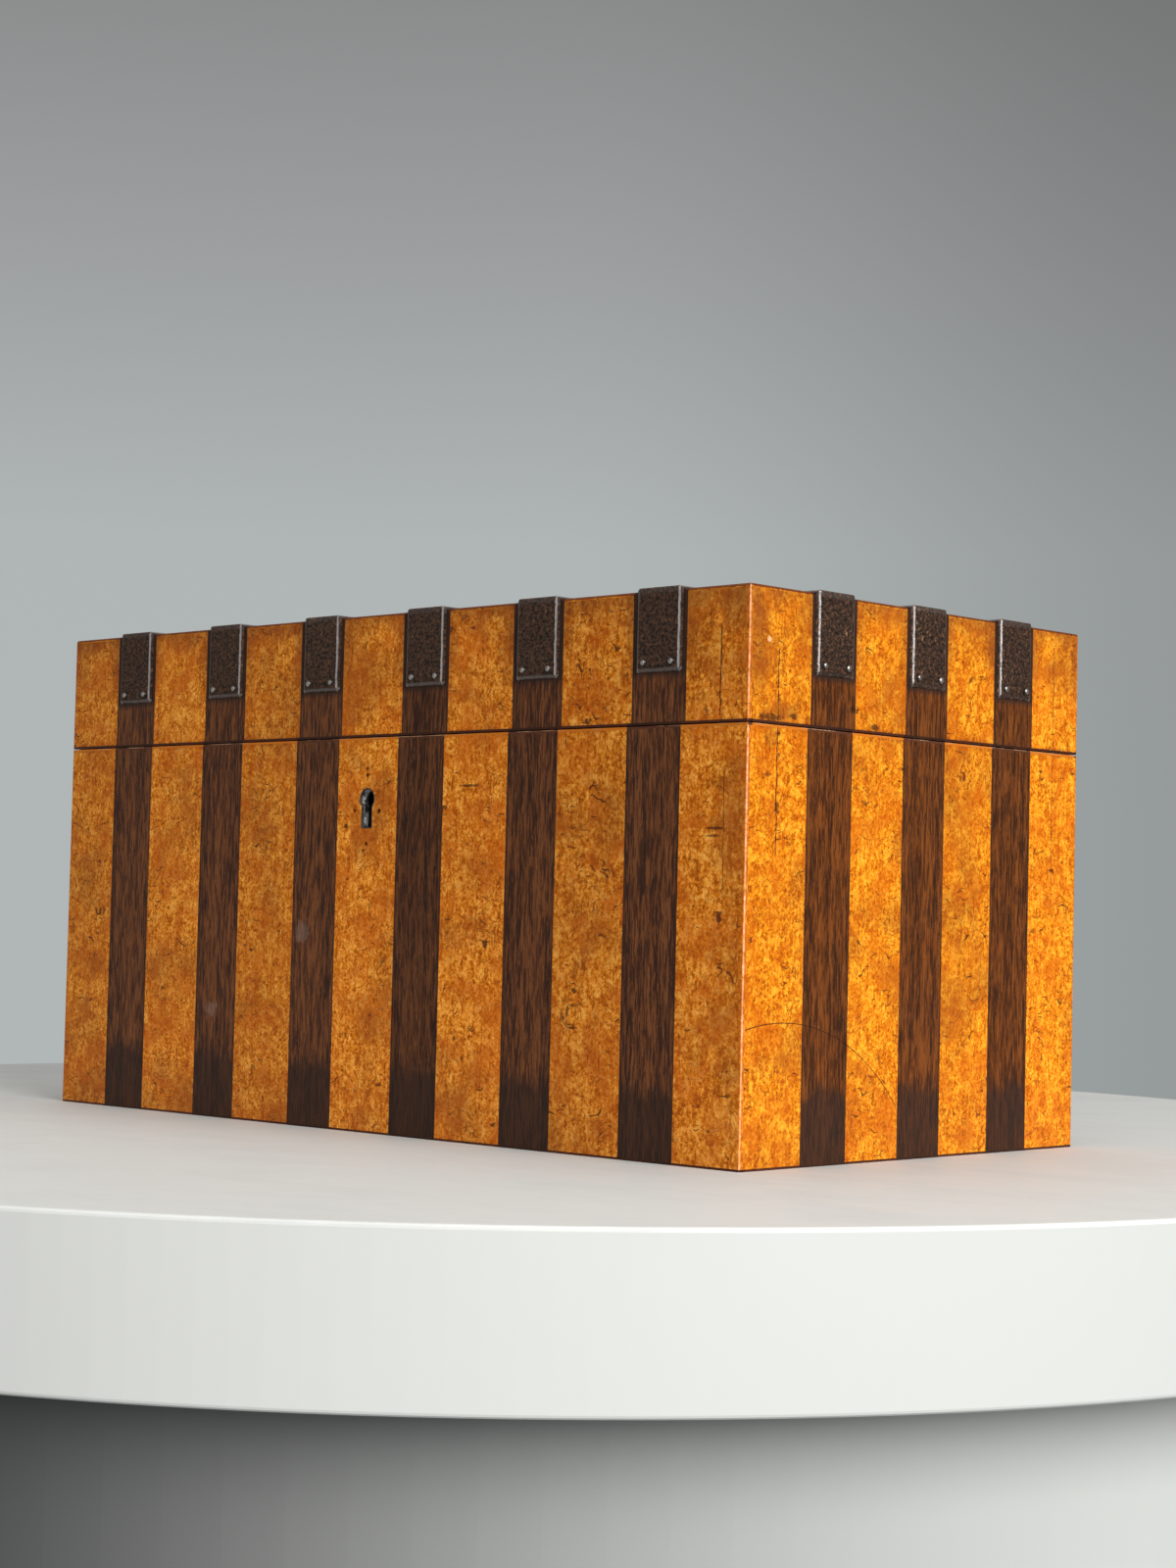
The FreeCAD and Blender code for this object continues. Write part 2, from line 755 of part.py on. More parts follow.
def link_plate():
    """Plate in the lid's rim with the two links that hang from it."""
    plate = block(
        "link_plate_plate",
        (-half_selvedge, half_selvedge),
        (lock_front, -inner_y),
        (lid_foot, lid_foot + s.link_plate_thickness),
    )
    half_depth_of_link = s.link_depth / 2
    half_eye = s.finger_thickness / 2 + s.eye_play
    solids = [plate]
    eyes = []
    for side, middle in link_places():
        x = (middle - s.link_width / 2, middle + s.link_width / 2)
        y = (lock_middle - half_depth_of_link, lock_middle + half_depth_of_link)
        solids.append(block(f"link_{side}", x, y, (link_foot, lid_foot + s.link_plate_thickness)))
        eye_y = (lock_middle - half_eye, lock_middle + half_eye)
        eyes.append(block(f"link_eye_{side}", x, eye_y, (eye_foot, finger_top + s.eye_play)))
    return cut("link_plate_pierced", fuse("link_plate_blank", solids), group("link_eyes", eyes))


def link_screws():
    reach = (s.link_reach + half_selvedge) / 2
    return [
        wood_screw(f"link_screw_{number}", "Z", reach * side, lock_middle, lid_foot, 1, s.screw_length)
        for number, side in enumerate((-1, 1), start=1)
    ]


# Straps

strap_top = lid_top + s.strap_thickness
strap_end = lid_top - s.strap_drop
strap_half = s.strap_width / 2


def strap_middles():
    """Middles of the cross straps and of the long straps, on the lid's bands."""
    cross = [(low + high) / 2 for low, high in lid_cross]
    long = [(low + high) / 2 for low, high in lid_side]
    return cross, long


def strap(name, plane, middle, half_length):
    """A strap folded down over both sides of the lid, bevelled along its sides and ends.

    Three outlines, one for each way of looking at it, meet in the finished strap.
    """
    outer = half_length + s.strap_thickness
    low, high = middle - strap_half, middle + strap_half
    fall, run = s.strap_bevel_depth, s.strap_bevel
    right_half = [
        (outer - s.strap_fold, strap_top),
        (outer, strap_top - s.strap_fold),
        (outer, strap_end + run),
        (outer - fall, strap_end),
        (half_length, strap_end),
        (half_length, lid_top),
    ]
    left_half = [(-along_run, z) for along_run, z in reversed(right_half)]
    profile = prism(name + "_profile", plane, left_half + right_half, low, high)
    elevation = [
        (low + s.strap_corner, strap_end),
        (high - s.strap_corner, strap_end),
        (high, strap_end + s.strap_corner),
        (high, strap_top - fall),
        (high - run, strap_top),
        (low + run, strap_top),
        (low, strap_top - fall),
        (low, strap_end + s.strap_corner),
    ]
    other_plane = "XZ" if plane == "YZ" else "YZ"
    end_view = prism(name + "_end_view", other_plane, elevation, -outer, outer)
    above = [
        (-outer, low + run),
        (-outer, high - run),
        (-outer + fall, high),
        (outer - fall, high),
        (outer, high - run),
        (outer, low + run),
        (outer - fall, low),
        (-outer + fall, low),
    ]
    if plane == "YZ":
        above = [(across, along_run) for along_run, across in above]
    top_view = prism(name + "_top_view", "XY", above, strap_end, strap_top)
    return common(name, common(name + "_ends", profile, end_view), top_view)


def end_pins(prefix, axis, face, side, middle):
    """Centre and direction of the two pins of one strap end."""
    z = strap_end + s.pin_inset
    for step in (-1, 1):
        yield axis, face, side, middle + s.pin_spacing * step / 2, z


def pin_places():
    """Every strap pin: its axis, the face it enters, its side and its two coordinates."""
    cross, long = strap_middles()
    places = []
    for middle in cross:
        for side in (-1, 1):
            places += list(end_pins("cross", "Y", half_depth + s.strap_thickness, side, middle))
    for middle in long:
        for side in (-1, 1):
            places += list(end_pins("long", "X", half_width + s.strap_thickness, side, middle))
    return places


def pin_shanks(name, places):
    """Shanks of strap pins, each from the strap's face into the rail."""
    shanks = []
    for number, (axis, face, side, across, z) in enumerate(places, start=1):
        depth = face - s.pin_length
        span = (depth, face) if side > 0 else (-face, -depth)
        shanks.append(facets(f"{name}_{number}", axis, span, across, z, (s.pin_shank, s.pin_shank), Dim.of(4)))
    return shanks


def pin_head(name, axis, face, side, across, z):
    """A low crowned head on the strap's face."""
    crown = face + s.pin_crown
    if side > 0:
        return facets(name, axis, (face, crown), across, z, (s.pin_radius, s.pin_tip), s.pin_sides)
    return facets(name, axis, (-crown, -face), across, z, (s.pin_tip, s.pin_radius), s.pin_sides)


def in_turn(name, base, tools):
    return cut(name, base, group(name + "_tools", tools))


def build_base(worn):
    """Base case, its veneers and its facings."""
    foot = s.facing_thickness
    z = (foot, base_core_top)
    mortises = [mortise(f"base_mortise_{side}", middle, base_leaf_z) for side, middle in hinge_places()]
    screws = []
    for side, middle in hinge_places():
        screws += hinge_screws(f"base_screw_{side}", middle, s.base_height, -1)
    front_tools = sockets("base_front_socket", -1, s.base_tails, foot, base_core_top)
    front_tools += [lock_recess(), keyhole_tool("board_keyhole", (-core_y, lock_front))]
    front = socket_board("front_socketed", -1, z, front_tools)
    covers = cover_screws()
    node("base_front_board", in_turn("front_board", front, covers))
    back_tools = sockets("base_back_socket", 1, s.base_tails, foot, base_core_top)
    back = socket_board("back_socketed", 1, z, back_tools + mortises)
    node("base_back_board", in_turn("back_board", back, screws))
    node("base_left_board", tail_board("left_board", -1, s.base_tails, foot, base_core_top))
    node("base_right_board", tail_board("right_board", 1, s.base_tails, foot, base_core_top))
    node(
        "base_bottom_board",
        block("bottom_board", (-inner_x, inner_x), (-inner_y, inner_y), (foot, floor_top)),
    )
    facing = block("underside", (-half_width, half_width), (-half_depth, half_depth), (Dim.of(0), foot))
    node("base_underside_facing", common("underside_worn", facing, worn))

    ring = block(
        "base_rim_blank",
        (-half_width, half_width),
        (-half_depth, half_depth),
        (base_core_top, s.base_height),
    )
    well = block("base_rim_well", (-inner_x, inner_x), (-inner_y, inner_y), (base_core_top, s.base_height))
    seat_of_lock = block(
        "base_rim_lock",
        (-half_selvedge, half_selvedge),
        (lock_front, -inner_y),
        (base_core_top, s.base_height),
    )
    rim_tools = [fuse("base_rim_open", [well, seat_of_lock])] + mortises
    node("base_rim_facing", in_turn("base_rim_cut", common("base_rim_worn", ring, worn), rim_tools))

    cross_gaps = gap_spans(base_cross, -half_width, half_width)
    side_gaps = gap_spans(base_side, -core_y, core_y)
    keyhole = keyhole_tool("veneer_keyhole", (-half_depth, -core_y))
    front_maple = group("front_maple_leaves", front_leaves("front_maple", cross_gaps, -1, z))
    pierced = in_turn("front_maple_pierced", front_maple, [keyhole] + nail_holes())
    node("base_front_maple", common("front_maple_worn", pierced, worn))
    node("base_front_rosewood", group("front_rosewood", front_leaves("front_rose", base_cross, -1, z)))
    back_maple = group("back_maple_leaves", front_leaves("back_maple", cross_gaps, 1, z))
    let_in = in_turn("back_maple_let_in", back_maple, mortises)
    node("base_back_maple", common("back_maple_worn", let_in, worn))
    back_rose = group("back_rosewood", front_leaves("back_rose", base_cross, 1, z))
    node("base_back_rosewood", in_turn("back_rosewood_let_in", back_rose, mortises))
    for word, side in (("left", -1), ("right", 1)):
        maple = side_leaves(f"{word}_maple", side_gaps, side, z)
        node(f"base_{word}_maple", group(f"{word}_maple_leaves", maple))
        rose = side_leaves(f"{word}_rose", base_side, side, z)
        node(f"base_{word}_rosewood", group(f"{word}_rosewood", rose))
    lining_x = inner_x - s.lining_clearance
    lining_y = inner_y - s.lining_clearance
    lining_z = (floor_top, floor_top + s.lining_thickness)
    node("floor_lining", block("lining", (-lining_x, lining_x), (-lining_y, lining_y), lining_z))
    return covers, screws


def build_lock(covers):
    """Lock case, cover plate, drill pin, spring, screws and the moving bolt."""
    node("lock_case", lock_case())
    plate = block(
        "cover_blank",
        (-half_selvedge, half_selvedge),
        (case_back, -inner_y),
        (case_foot, selvedge_foot),
    )
    node("lock_cover_plate", in_turn("cover_plate", plate, covers))
    tip = -half_depth + s.drill_pin_setback
    node(
        "lock_drill_pin",
        rod("drill_pin", "Y", (tip, case_back), Dim.of(0), keyhole_z, s.drill_pin_radius),
    )
    node("lock_spring", lock_spring())
    node("lock_screws", group("cover_screws", covers))
    node("lock_bolt", lock_bolt())


def build_lid(worn):
    """Lid case, its veneers, facing, straps and pins."""
    z = (lid_core_foot, rail_top)
    mortises = [mortise(f"lid_mortise_{side}", middle, lid_leaf_z) for side, middle in hinge_places()]
    screws = []
    for side, middle in hinge_places():
        screws += hinge_screws(f"lid_screw_{side}", middle, lid_foot, 1)
    links = link_screws()
    link_seat = block(
        "link_seat",
        (-half_selvedge, half_selvedge),
        (lock_front, -inner_y),
        (lid_foot, lid_foot + s.link_plate_thickness),
    )
    places = pin_places()
    front_pins = [place for place in places if place[0] == "Y" and place[2] < 0]
    back_pins = [place for place in places if place[0] == "Y" and place[2] > 0]
    left_pins = [place for place in places if place[0] == "X" and place[2] < 0]
    right_pins = [place for place in places if place[0] == "X" and place[2] > 0]
    front_holes = pin_shanks("front_pin_hole", front_pins)
    back_holes = pin_shanks("back_pin_hole", back_pins)
    left_holes = pin_shanks("left_pin_hole", left_pins)
    right_holes = pin_shanks("right_pin_hole", right_pins)

    front_tools = sockets("lid_front_socket", -1, s.lid_tails, lid_core_foot, rail_top)
    front = socket_board("lid_front_socketed", -1, z, front_tools + [link_seat])
    node("lid_front_rail", in_turn("lid_front", front, links + front_holes))
    back_tools = sockets("lid_back_socket", 1, s.lid_tails, lid_core_foot, rail_top)
    back = socket_board("lid_back_socketed", 1, z, back_tools + mortises)
    node("lid_back_rail", in_turn("lid_back", back, screws + back_holes))
    left = tail_board("lid_left_blank", -1, s.lid_tails, lid_core_foot, rail_top)
    node("lid_left_rail", in_turn("lid_left", left, left_holes))
    right = tail_board("lid_right_blank", 1, s.lid_tails, lid_core_foot, rail_top)
    node("lid_right_rail", in_turn("lid_right", right, right_holes))
    node(
        "lid_top_board",
        block("top_board", (-core_x, core_x), (-core_y, core_y), (rail_top, lid_core_top)),
    )

    ring = block(
        "lid_rim_blank",
        (-half_width, half_width),
        (-half_depth, half_depth),
        (lid_foot, lid_core_foot),
    )
    well = block("lid_rim_well", (-inner_x, inner_x), (-inner_y, inner_y), (lid_foot, lid_core_foot))
    rim_tools = [fuse("lid_rim_open", [well, link_seat])] + mortises
    node("lid_rim_facing", in_turn("lid_rim_cut", common("lid_rim_worn", ring, worn), rim_tools))

    leaf_z = (lid_core_foot, lid_core_top)
    cross_gaps = gap_spans(lid_cross, -half_width, half_width)
    side_gaps = gap_spans(lid_side, -core_y, core_y)
    for word, side, holes in (("front", -1, front_holes), ("back", 1, back_holes)):
        maple = group(f"lid_{word}_maple_leaves", front_leaves(f"lid_{word}_maple", cross_gaps, side, leaf_z))
        rose = group(f"lid_{word}_rose_leaves", front_leaves(f"lid_{word}_rose", lid_cross, side, leaf_z))
        if side > 0:
            maple = in_turn("lid_back_maple_let_in", maple, mortises)
            rose = in_turn("lid_back_rose_let_in", rose, mortises)
        node(f"lid_{word}_maple", common(f"lid_{word}_maple_worn", maple, worn))
        node(f"lid_{word}_rosewood", in_turn(f"lid_{word}_rose_pinned", rose, holes))
    for word, side, holes in (("left", -1, left_holes), ("right", 1, right_holes)):
        maple = side_leaves(f"lid_{word}_maple", side_gaps, side, leaf_z)
        node(f"lid_{word}_maple", group(f"lid_{word}_maple_leaves", maple))
        rose = group(f"lid_{word}_rose_leaves", side_leaves(f"lid_{word}_rose", lid_side, side, leaf_z))
        node(f"lid_{word}_rosewood", in_turn(f"lid_{word}_rose_pinned", rose, holes))

    top_z = (lid_core_top, lid_top)
    row_gaps = gap_spans(lid_side, -half_depth, half_depth)
    fields = []
    bands = []
    for number, span in enumerate(lid_cross, start=1):
        bands.append(block(f"top_cross_{number}", span, (-half_depth, half_depth), top_z))
    for column, x in enumerate(cross_gaps, start=1):
        for row, y in enumerate(row_gaps, start=1):
            fields.append(block(f"top_field_{column}_{row}", x, y, top_z))
        for row, y in enumerate(lid_side, start=1):
            bands.append(block(f"top_band_{column}_{row}", x, y, top_z))
    node("lid_top_maple", common("top_maple_worn", group("top_maple_leaves", fields), worn))
    node("lid_top_rosewood", common("top_rosewood_worn", group("top_rosewood_leaves", bands), worn))

    build_straps(front_holes + back_holes, left_holes + right_holes, places)
    node("link_plate", in_turn("link_plate_sunk", link_plate(), links))
    node("link_plate_screws", group("link_plate_fixings", links))
    return screws


def build_straps(cross_holes, long_holes, places):
    """Cross straps over long straps, half-lapped flush where they meet."""
    cross, long = strap_middles()
    half_lap = (lid_top, lid_top + s.strap_thickness / 2)
    whole_long = []
    lap_tools = []
    for number, middle in enumerate(long, start=1):
        whole = strap(f"long_strap_{number}_whole", "XZ", middle, half_width)
        lower = block(f"lower_{number}", (-half_width, half_width), (-half_depth, half_depth), half_lap)
        whole_long.append(whole)
        lap_tools.append(common(f"lap_{number}", whole, lower))
    lapped = []
    for number, middle in enumerate(cross, start=1):
        whole = strap(f"cross_strap_{number}_whole", "YZ", middle, half_depth)
        holes = cross_holes[2 * number - 2:2 * number]
        holes += cross_holes[2 * CROSS_COUNT + 2 * number - 2:2 * CROSS_COUNT + 2 * number]
        piece = node(f"cross_strap_{number}", in_turn(f"cross_lapped_{number}", whole, lap_tools + holes))
        lapped.append(piece)
    for number, whole in enumerate(whole_long, start=1):
        holes = long_holes[2 * number - 2:2 * number]
        holes += long_holes[2 * SIDE_COUNT + 2 * number - 2:2 * SIDE_COUNT + 2 * number]
        node(f"long_strap_{number}", in_turn(f"long_lapped_{number}", whole, lapped + holes))
    pins = []
    for number, (axis, face, side, across, z) in enumerate(places, start=1):
        head = pin_head(f"pin_head_{number}", axis, face, side, across, z)
        shank = pin_shanks(f"pin_shank_{number}", [(axis, face, side, across, z)])[0]
        pins.append(fuse(f"pin_{number}", [head, shank]))
    node("strap_pins", group("pins", pins))


def build_hinges(base_screws, lid_screws):
    """Both hinges, leaf by leaf, with their pins and screws."""
    pins = []
    for index, (side, middle) in enumerate(hinge_places()):
        own_base = base_screws[3 * index:3 * index + 3]
        own_lid = lid_screws[3 * index:3 * index + 3]
        base_leaf = hinge_leaf(f"base_leaf_{side}", middle, base_leaf_z, 0, True, own_base)
        lid_leaf = hinge_leaf(f"lid_leaf_{side}", middle, lid_leaf_z, 1, False, own_lid)
        node(f"base_hinge_leaf_{side}", base_leaf)
        node(f"lid_hinge_leaf_{side}", lid_leaf)
        pins.append(rod(f"hinge_pin_{side}", "X", hinge_x(middle), axis_y, axis_z, s.hinge_pin_radius))
    node("hinge_pins", group("hinge_pin_pair", pins))
    node("base_hinge_screws", group("base_screw_set", base_screws))
    node("lid_hinge_screws", group("lid_screw_set", lid_screws))


def sound(shape):
    return not shape.isNull() and shape.isValid() and len(shape.Solids) > 0 and shape.Volume > 0


def check():
    """Stop if any object of the document failed or any piece is empty or faulty."""
    failed = [item.Name for item in doc.Objects if "Invalid" in item.State or "Error" in item.State]
    faulty = [item.Label for item in nodes if not sound(item.Shape)]
    if failed or faulty:
        raise RuntimeError(f"failed: {failed}, faulty: {faulty}")


def export():
    os.makedirs("parts", exist_ok=True)
    for item in nodes:
        item.Shape.exportStep(f"parts/{item.Label}.step")
        print(item.Label, len(item.Shape.Solids), round(item.Shape.Volume, 3))
    print(len(nodes), "pieces")


worn_case = worn_outline()
cover_fixings, base_fixings = build_base(worn_case)
build_lock(cover_fixings)
lid_fixings = build_lid(worn_case)
build_hinges(base_fixings, lid_fixings)
doc.recompute()
check()
export()
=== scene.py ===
"""Dressed scene of a banded lid box with iron straps.

The box stands on a pale round table. All lengths are in metres, in the frame of the solids.
"""

import logging
import math
import random
from collections.abc import Callable, Iterable
from dataclasses import dataclass
from enum import Enum

import bmesh
import bpy
from mathutils import Matrix, Vector


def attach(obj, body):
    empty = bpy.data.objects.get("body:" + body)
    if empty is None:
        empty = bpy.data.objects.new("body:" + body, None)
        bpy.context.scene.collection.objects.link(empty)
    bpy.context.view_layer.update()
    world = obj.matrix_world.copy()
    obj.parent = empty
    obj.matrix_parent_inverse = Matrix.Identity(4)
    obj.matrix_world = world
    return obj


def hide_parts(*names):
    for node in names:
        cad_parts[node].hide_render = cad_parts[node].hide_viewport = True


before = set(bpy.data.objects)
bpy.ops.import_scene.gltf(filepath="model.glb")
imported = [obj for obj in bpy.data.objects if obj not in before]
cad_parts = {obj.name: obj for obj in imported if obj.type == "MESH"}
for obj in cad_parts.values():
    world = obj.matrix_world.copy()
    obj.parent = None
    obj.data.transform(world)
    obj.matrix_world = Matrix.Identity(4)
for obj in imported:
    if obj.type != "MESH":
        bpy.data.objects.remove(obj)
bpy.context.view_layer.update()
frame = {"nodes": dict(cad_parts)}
LOG = logging.getLogger("box")

MM = 0.001
Colour = tuple[float, float, float, float]
Triple = tuple[float, float, float]
Socket = bpy.types.NodeSocket
Node = bpy.types.Node
Piece = bpy.types.Object


def tint(red: int, green: int, blue: int) -> Colour:
    """Turn a colour written in 8-bit display values into linear values.

    Args:
        red: Red, 0 to 255.
        green: Green, 0 to 255.
        blue: Blue, 0 to 255.

    Returns:
        The linear colour with full alpha.
    """
    linear = []
    for value in (red, green, blue):
        share = value / 255
        linear.append(share / 12.92 if share <= 0.04045 else ((share + 0.055) / 1.055) ** 2.4)
    return (linear[0], linear[1], linear[2], 1.0)


class Face(Enum):
    """An outer face of the box: the axis that runs across it, its normal's axis and sign."""

    FRONT = ("X", "Y", -1)
    BACK = ("X", "Y", 1)
    LEFT = ("Y", "X", -1)
    RIGHT = ("Y", "X", 1)
    TOP = ("X", "Z", 1)

    @property
    def across(self) -> str:
        """The axis that runs across the face."""
        return self.value[0]


@dataclass(frozen=True)
class Layout:
    """How bands repeat across a face: their pitch, and the middle of one of them."""

    pitch: float
    middle: float


@dataclass(frozen=True)
class BoxSizes:
    """Sizes of the box that the looks and the new pieces follow."""

    half_width: float = 135.0 * MM
    half_depth: float = 69.5 * MM
    base_height: float = 106.6 * MM
    lid_foot: float = 106.9 * MM
    lid_top: float = 140.0 * MM
    seam: float = 106.75 * MM
    inner_y: float = 60.5 * MM
    floor_top: float = 8.0 * MM
    cross_pitch: float = 42.0 * MM
    cross_shift: float = 1.0 * MM
    side_pitch: float = 38.15 * MM
    side_shift: float = 0.75 * MM
    cross_count: int = 6
    side_count: int = 3
    strap_half: float = 7.55 * MM
    strap_bevel: float = 1.0 * MM
    strap_thickness: float = 0.8 * MM
    strap_end: float = 119.8 * MM
    keyhole_z: float = 90.0 * MM
    band_pitch: float = 41.8 * MM
    half_band: float = 8.95 * MM
    side_band_pitch: float = 38.4 * MM
    half_side_band: float = 8.8 * MM

    def layout(self, face: Face, part: str) -> Layout:
        """Pitch of the rosewood bands across a face, and one band's middle.

        Args:
            face: The face that the bands stand on.
            part: The face's part, base or lid.

        Returns:
            The bands' pitch, and the middle of one band.
        """
        wide = face.across == "X"
        if part == "base":
            return Layout(self.band_pitch, self.band_pitch / 2) if wide else Layout(self.side_band_pitch, 0.0)
        if wide:
            return Layout(self.cross_pitch, self.cross_shift + self.cross_pitch / 2)
        return Layout(self.side_pitch, self.side_shift)

    def middles(self, face: Face) -> list[float]:
        """Middles of the lid's straps that end on a face.

        Args:
            face: The face where the straps end.

        Returns:
            Places across the face in metres, one for each strap.
        """
        if face in (Face.FRONT, Face.BACK):
            count, pitch, shift = self.cross_count, self.cross_pitch, self.cross_shift
        else:
            count, pitch, shift = self.side_count, self.side_pitch, self.side_shift
        return [shift + pitch * (index - (count - 1) / 2) for index in range(count)]


SIZES = BoxSizes()


class Signal:
    """A value on its way through a shader tree, open to plain arithmetic."""

    def __init__(self, graph: "Graph", socket: Socket) -> None:
        """Keep the graph and the socket that puts the value out."""
        self.graph = graph
        self.socket = socket

    def __add__(self, other: "Value") -> "Signal":
        """Return the sum."""
        return self.graph.math("ADD", self, other)

    def __sub__(self, other: "Value") -> "Signal":
        """Return the difference."""
        return self.graph.math("SUBTRACT", self, other)

    def __rsub__(self, other: float) -> "Signal":
        """Return the difference from a number."""
        return self.graph.math("SUBTRACT", other, self)

    def __mul__(self, other: "Value") -> "Signal":
        """Return the product."""
        return self.graph.math("MULTIPLY", self, other)

    def __truediv__(self, other: "Value") -> "Signal":
        """Return the quotient."""
        return self.graph.math("DIVIDE", self, other)

    def __abs__(self) -> "Signal":
        """Return the value without its sign."""
        return self.graph.math("ABSOLUTE", self)

    def most(self, other: "Value") -> "Signal":
        """Return the larger of two values."""
        return self.graph.math("MAXIMUM", self, other)

    def fitted(self, factor: "Value", extra: "Value") -> "Signal":
        """Return the value times a factor, plus an extra."""
        return self.graph.math("MULTIPLY_ADD", self, factor, extra)

    def ease(self, low: "Value", high: "Value", to_low: float = 0.0, to_high: float = 1.0) -> "Signal":
        """Return the value eased from one range into another, and held at its ends.

        Args:
            low: Where the first range starts.
            high: Where the first range ends.
            to_low: Where the second range starts.
            to_high: Where the second range ends.

        Returns:
            The eased signal.
        """
        node = self.graph.add("MapRange", interpolation_type="SMOOTHSTEP")
        self.graph.feed(node, Value=self, From_Min=low, From_Max=high, To_Min=to_low, To_Max=to_high)
        return Signal(self.graph, node.outputs[0])

    def fade(self, low: "Value", high: "Value") -> "Signal":
        """Return 1 below a range, 0 above it and an eased value between."""
        return self.ease(low, high, 1.0, 0.0)

    def between(self, start: "Value", end: "Value", soft: float = 2.0 * MM) -> "Signal":
        """Return 1 between two signals' values, with soft ends inside them."""
        return self.ease(start, start + soft) * self.fade(end - soft, end)

    def stroke(self, width: "Signal") -> "Signal":
        """Return the mask of a thin line where the value is close to 0."""
        return abs(self).fade(width * 0.3, width)


Value = Signal | float | tuple[float, ...]
Signals = dict[str, Signal]


class Graph:
    """A shader tree under construction, with short calls for its usual nodes."""

    def __init__(self, tree: bpy.types.NodeTree) -> None:
        """Keep the tree that nodes are added to."""
        self.tree = tree

    def add(self, kind: str, **settings: object) -> Node:
        """Add a node and set its properties.

        Args:
            kind: Node type without its ShaderNode prefix.
            **settings: Properties of the node.

        Returns:
            The new node.
        """
        node = self.tree.nodes.new("ShaderNode" + kind)
        for name, value in settings.items():
            setattr(node, name, value)
        return node

    def connect(self, socket: Socket, value: Value) -> None:
        """Link a socket to a signal, or set its number, vector or colour.

        Args:
            socket: The input.
            value: A signal or a plain value.
        """
        if isinstance(value, Signal):
            self.tree.links.new(value.socket, socket)
        else:
            socket.default_value = value

    def feed(self, node: Node, **values: Value) -> None:
        """Connect a node's inputs, whose names use _ for a space."""
        for name, value in values.items():
            self.connect(node.inputs[name.replace("_", " ")], value)

    def outputs(self, node: Node) -> Signals:
        """Return a node's outputs by name."""
        return {socket.name: Signal(self, socket) for socket in node.outputs}

    def place(self, kind: str, *values: Value, **settings: object) -> Signal:
        """Add a node, connect its first inputs in order and return its first output.

        Args:
            kind: Node type without its ShaderNode prefix.
            *values: Values of its first inputs.
            **settings: Properties of the node.

        Returns:
            The node's first output.
        """
        node = self.add(kind, **settings)
        for socket, value in zip(node.inputs, values):
            self.connect(socket, value)
        return Signal(self, node.outputs[0])

    def math(self, operation: str, *values: Value) -> Signal:
        """Return the result of a Math node."""
        return self.place("Math", *values, operation=operation)

    def moved(self, vector: Value, offset: Value) -> Signal:
        """Return a vector with an offset added."""
        return self.place("VectorMath", vector, offset, operation="ADD")

    def scaled(self, vector: Value, *scale: float) -> Signal:
        """Return a vector stretched along the three axes."""
        return self.place("VectorMath", vector, scale, operation="MULTIPLY")

    def split(self, vector: Signal) -> Signals:
        """Return the X, Y and Z of a vector.

        Args:
            vector: The vector.

        Returns:
            Its three parts, named X, Y and Z.
        """
        node = self.add("SeparateXYZ")
        self.connect(node.inputs[0], vector)
        return self.outputs(node)

    def join(self, *values: Value) -> Signal:
        """Return a vector made of three values."""
        return self.place("CombineXYZ", *values)

    def noise(self, vector: Value, scale: Value, detail: float = 3.0, roughness: float = 0.55,
              distortion: float = 0.0) -> Signal:
        """Return the value of a Noise texture.

        Args:
            vector: Where the texture is read.
            scale: Its scale.
            detail: Its octaves.
            roughness: Weight of the finer octaves.
            distortion: How far it is warped.

        Returns:
            The noise, from about 0 to 1.
        """
        node = self.add("TexNoise")
        self.feed(node, Vector=vector, Scale=scale, Detail=detail, Roughness=roughness,
                  Distortion=distortion)
        return Signal(self, node.outputs[0])

    def fibres(self, vector: Value, across: float, along: float, detail: float, roughness: float,
               distortion: float = 0.0) -> Signal:
        """Return a noise stretched along Z, its scales given across and along."""
        return self.noise(self.scaled(vector, across, across, along), 1.0, detail, roughness, distortion)

    def cells(self, vector: Value, scale: float, feature: str = "F1") -> Signals:
        """Return the outputs of a Voronoi texture.

        Args:
            vector: Where the texture is read.
            scale: Its scale.
            feature: What it measures, as the node names it.

        Returns:
            The node's outputs by name.
        """
        node = self.add("TexVoronoi", feature=feature)
        self.feed(node, Vector=vector, Scale=scale)
        return self.outputs(node)

    def blend(self, factor: Value, first: Value, second: Value, mode: str = "MIX") -> Signal:
        """Return two colours mixed by a factor.

        Args:
            factor: Share of the second colour.
            first: The first colour.
            second: The second colour.
            mode: How they mix, as the node names it.

        Returns:
            The mixed colour.
        """
        node = self.add("Mix", data_type="RGBA", blend_type=mode)
        sockets = {socket.identifier: socket for socket in (*node.inputs, *node.outputs)}
        for name, value in (("Factor_Float", factor), ("A_Color", first), ("B_Color", second)):
            self.connect(sockets[name], value)
        return Signal(self, sockets["Result_Color"])

    def layered(self, colour: Value, layers: Iterable[tuple[Value, Value]]) -> Signal:
        """Lay tints over a colour one after the other, each by its mask.

        Args:
            colour: The ground.
            layers: Masks with their tints, lowest first.

        Returns:
            The colour under all its tints.
        """
        for mask, layer in layers:
            colour = self.blend(mask, colour, layer)
        return colour

    def ramp(self, value: Value, stops: list[tuple[float, Colour]]) -> Signal:
        """Return the colour of a ramp with the given stops.

        Args:
            value: Place along the ramp, 0 to 1.
            stops: Rising places with their colours.

        Returns:
            The colour at that place.
        """
        node = self.add("ValToRGB")
        elements = node.color_ramp.elements
        while len(elements) < len(stops):
            elements.new(1.0)
        for element, (place, colour) in zip(elements, stops):
            element.position = place
            element.color = colour
        self.connect(node.inputs[0], value)
        return Signal(self, node.outputs[0])

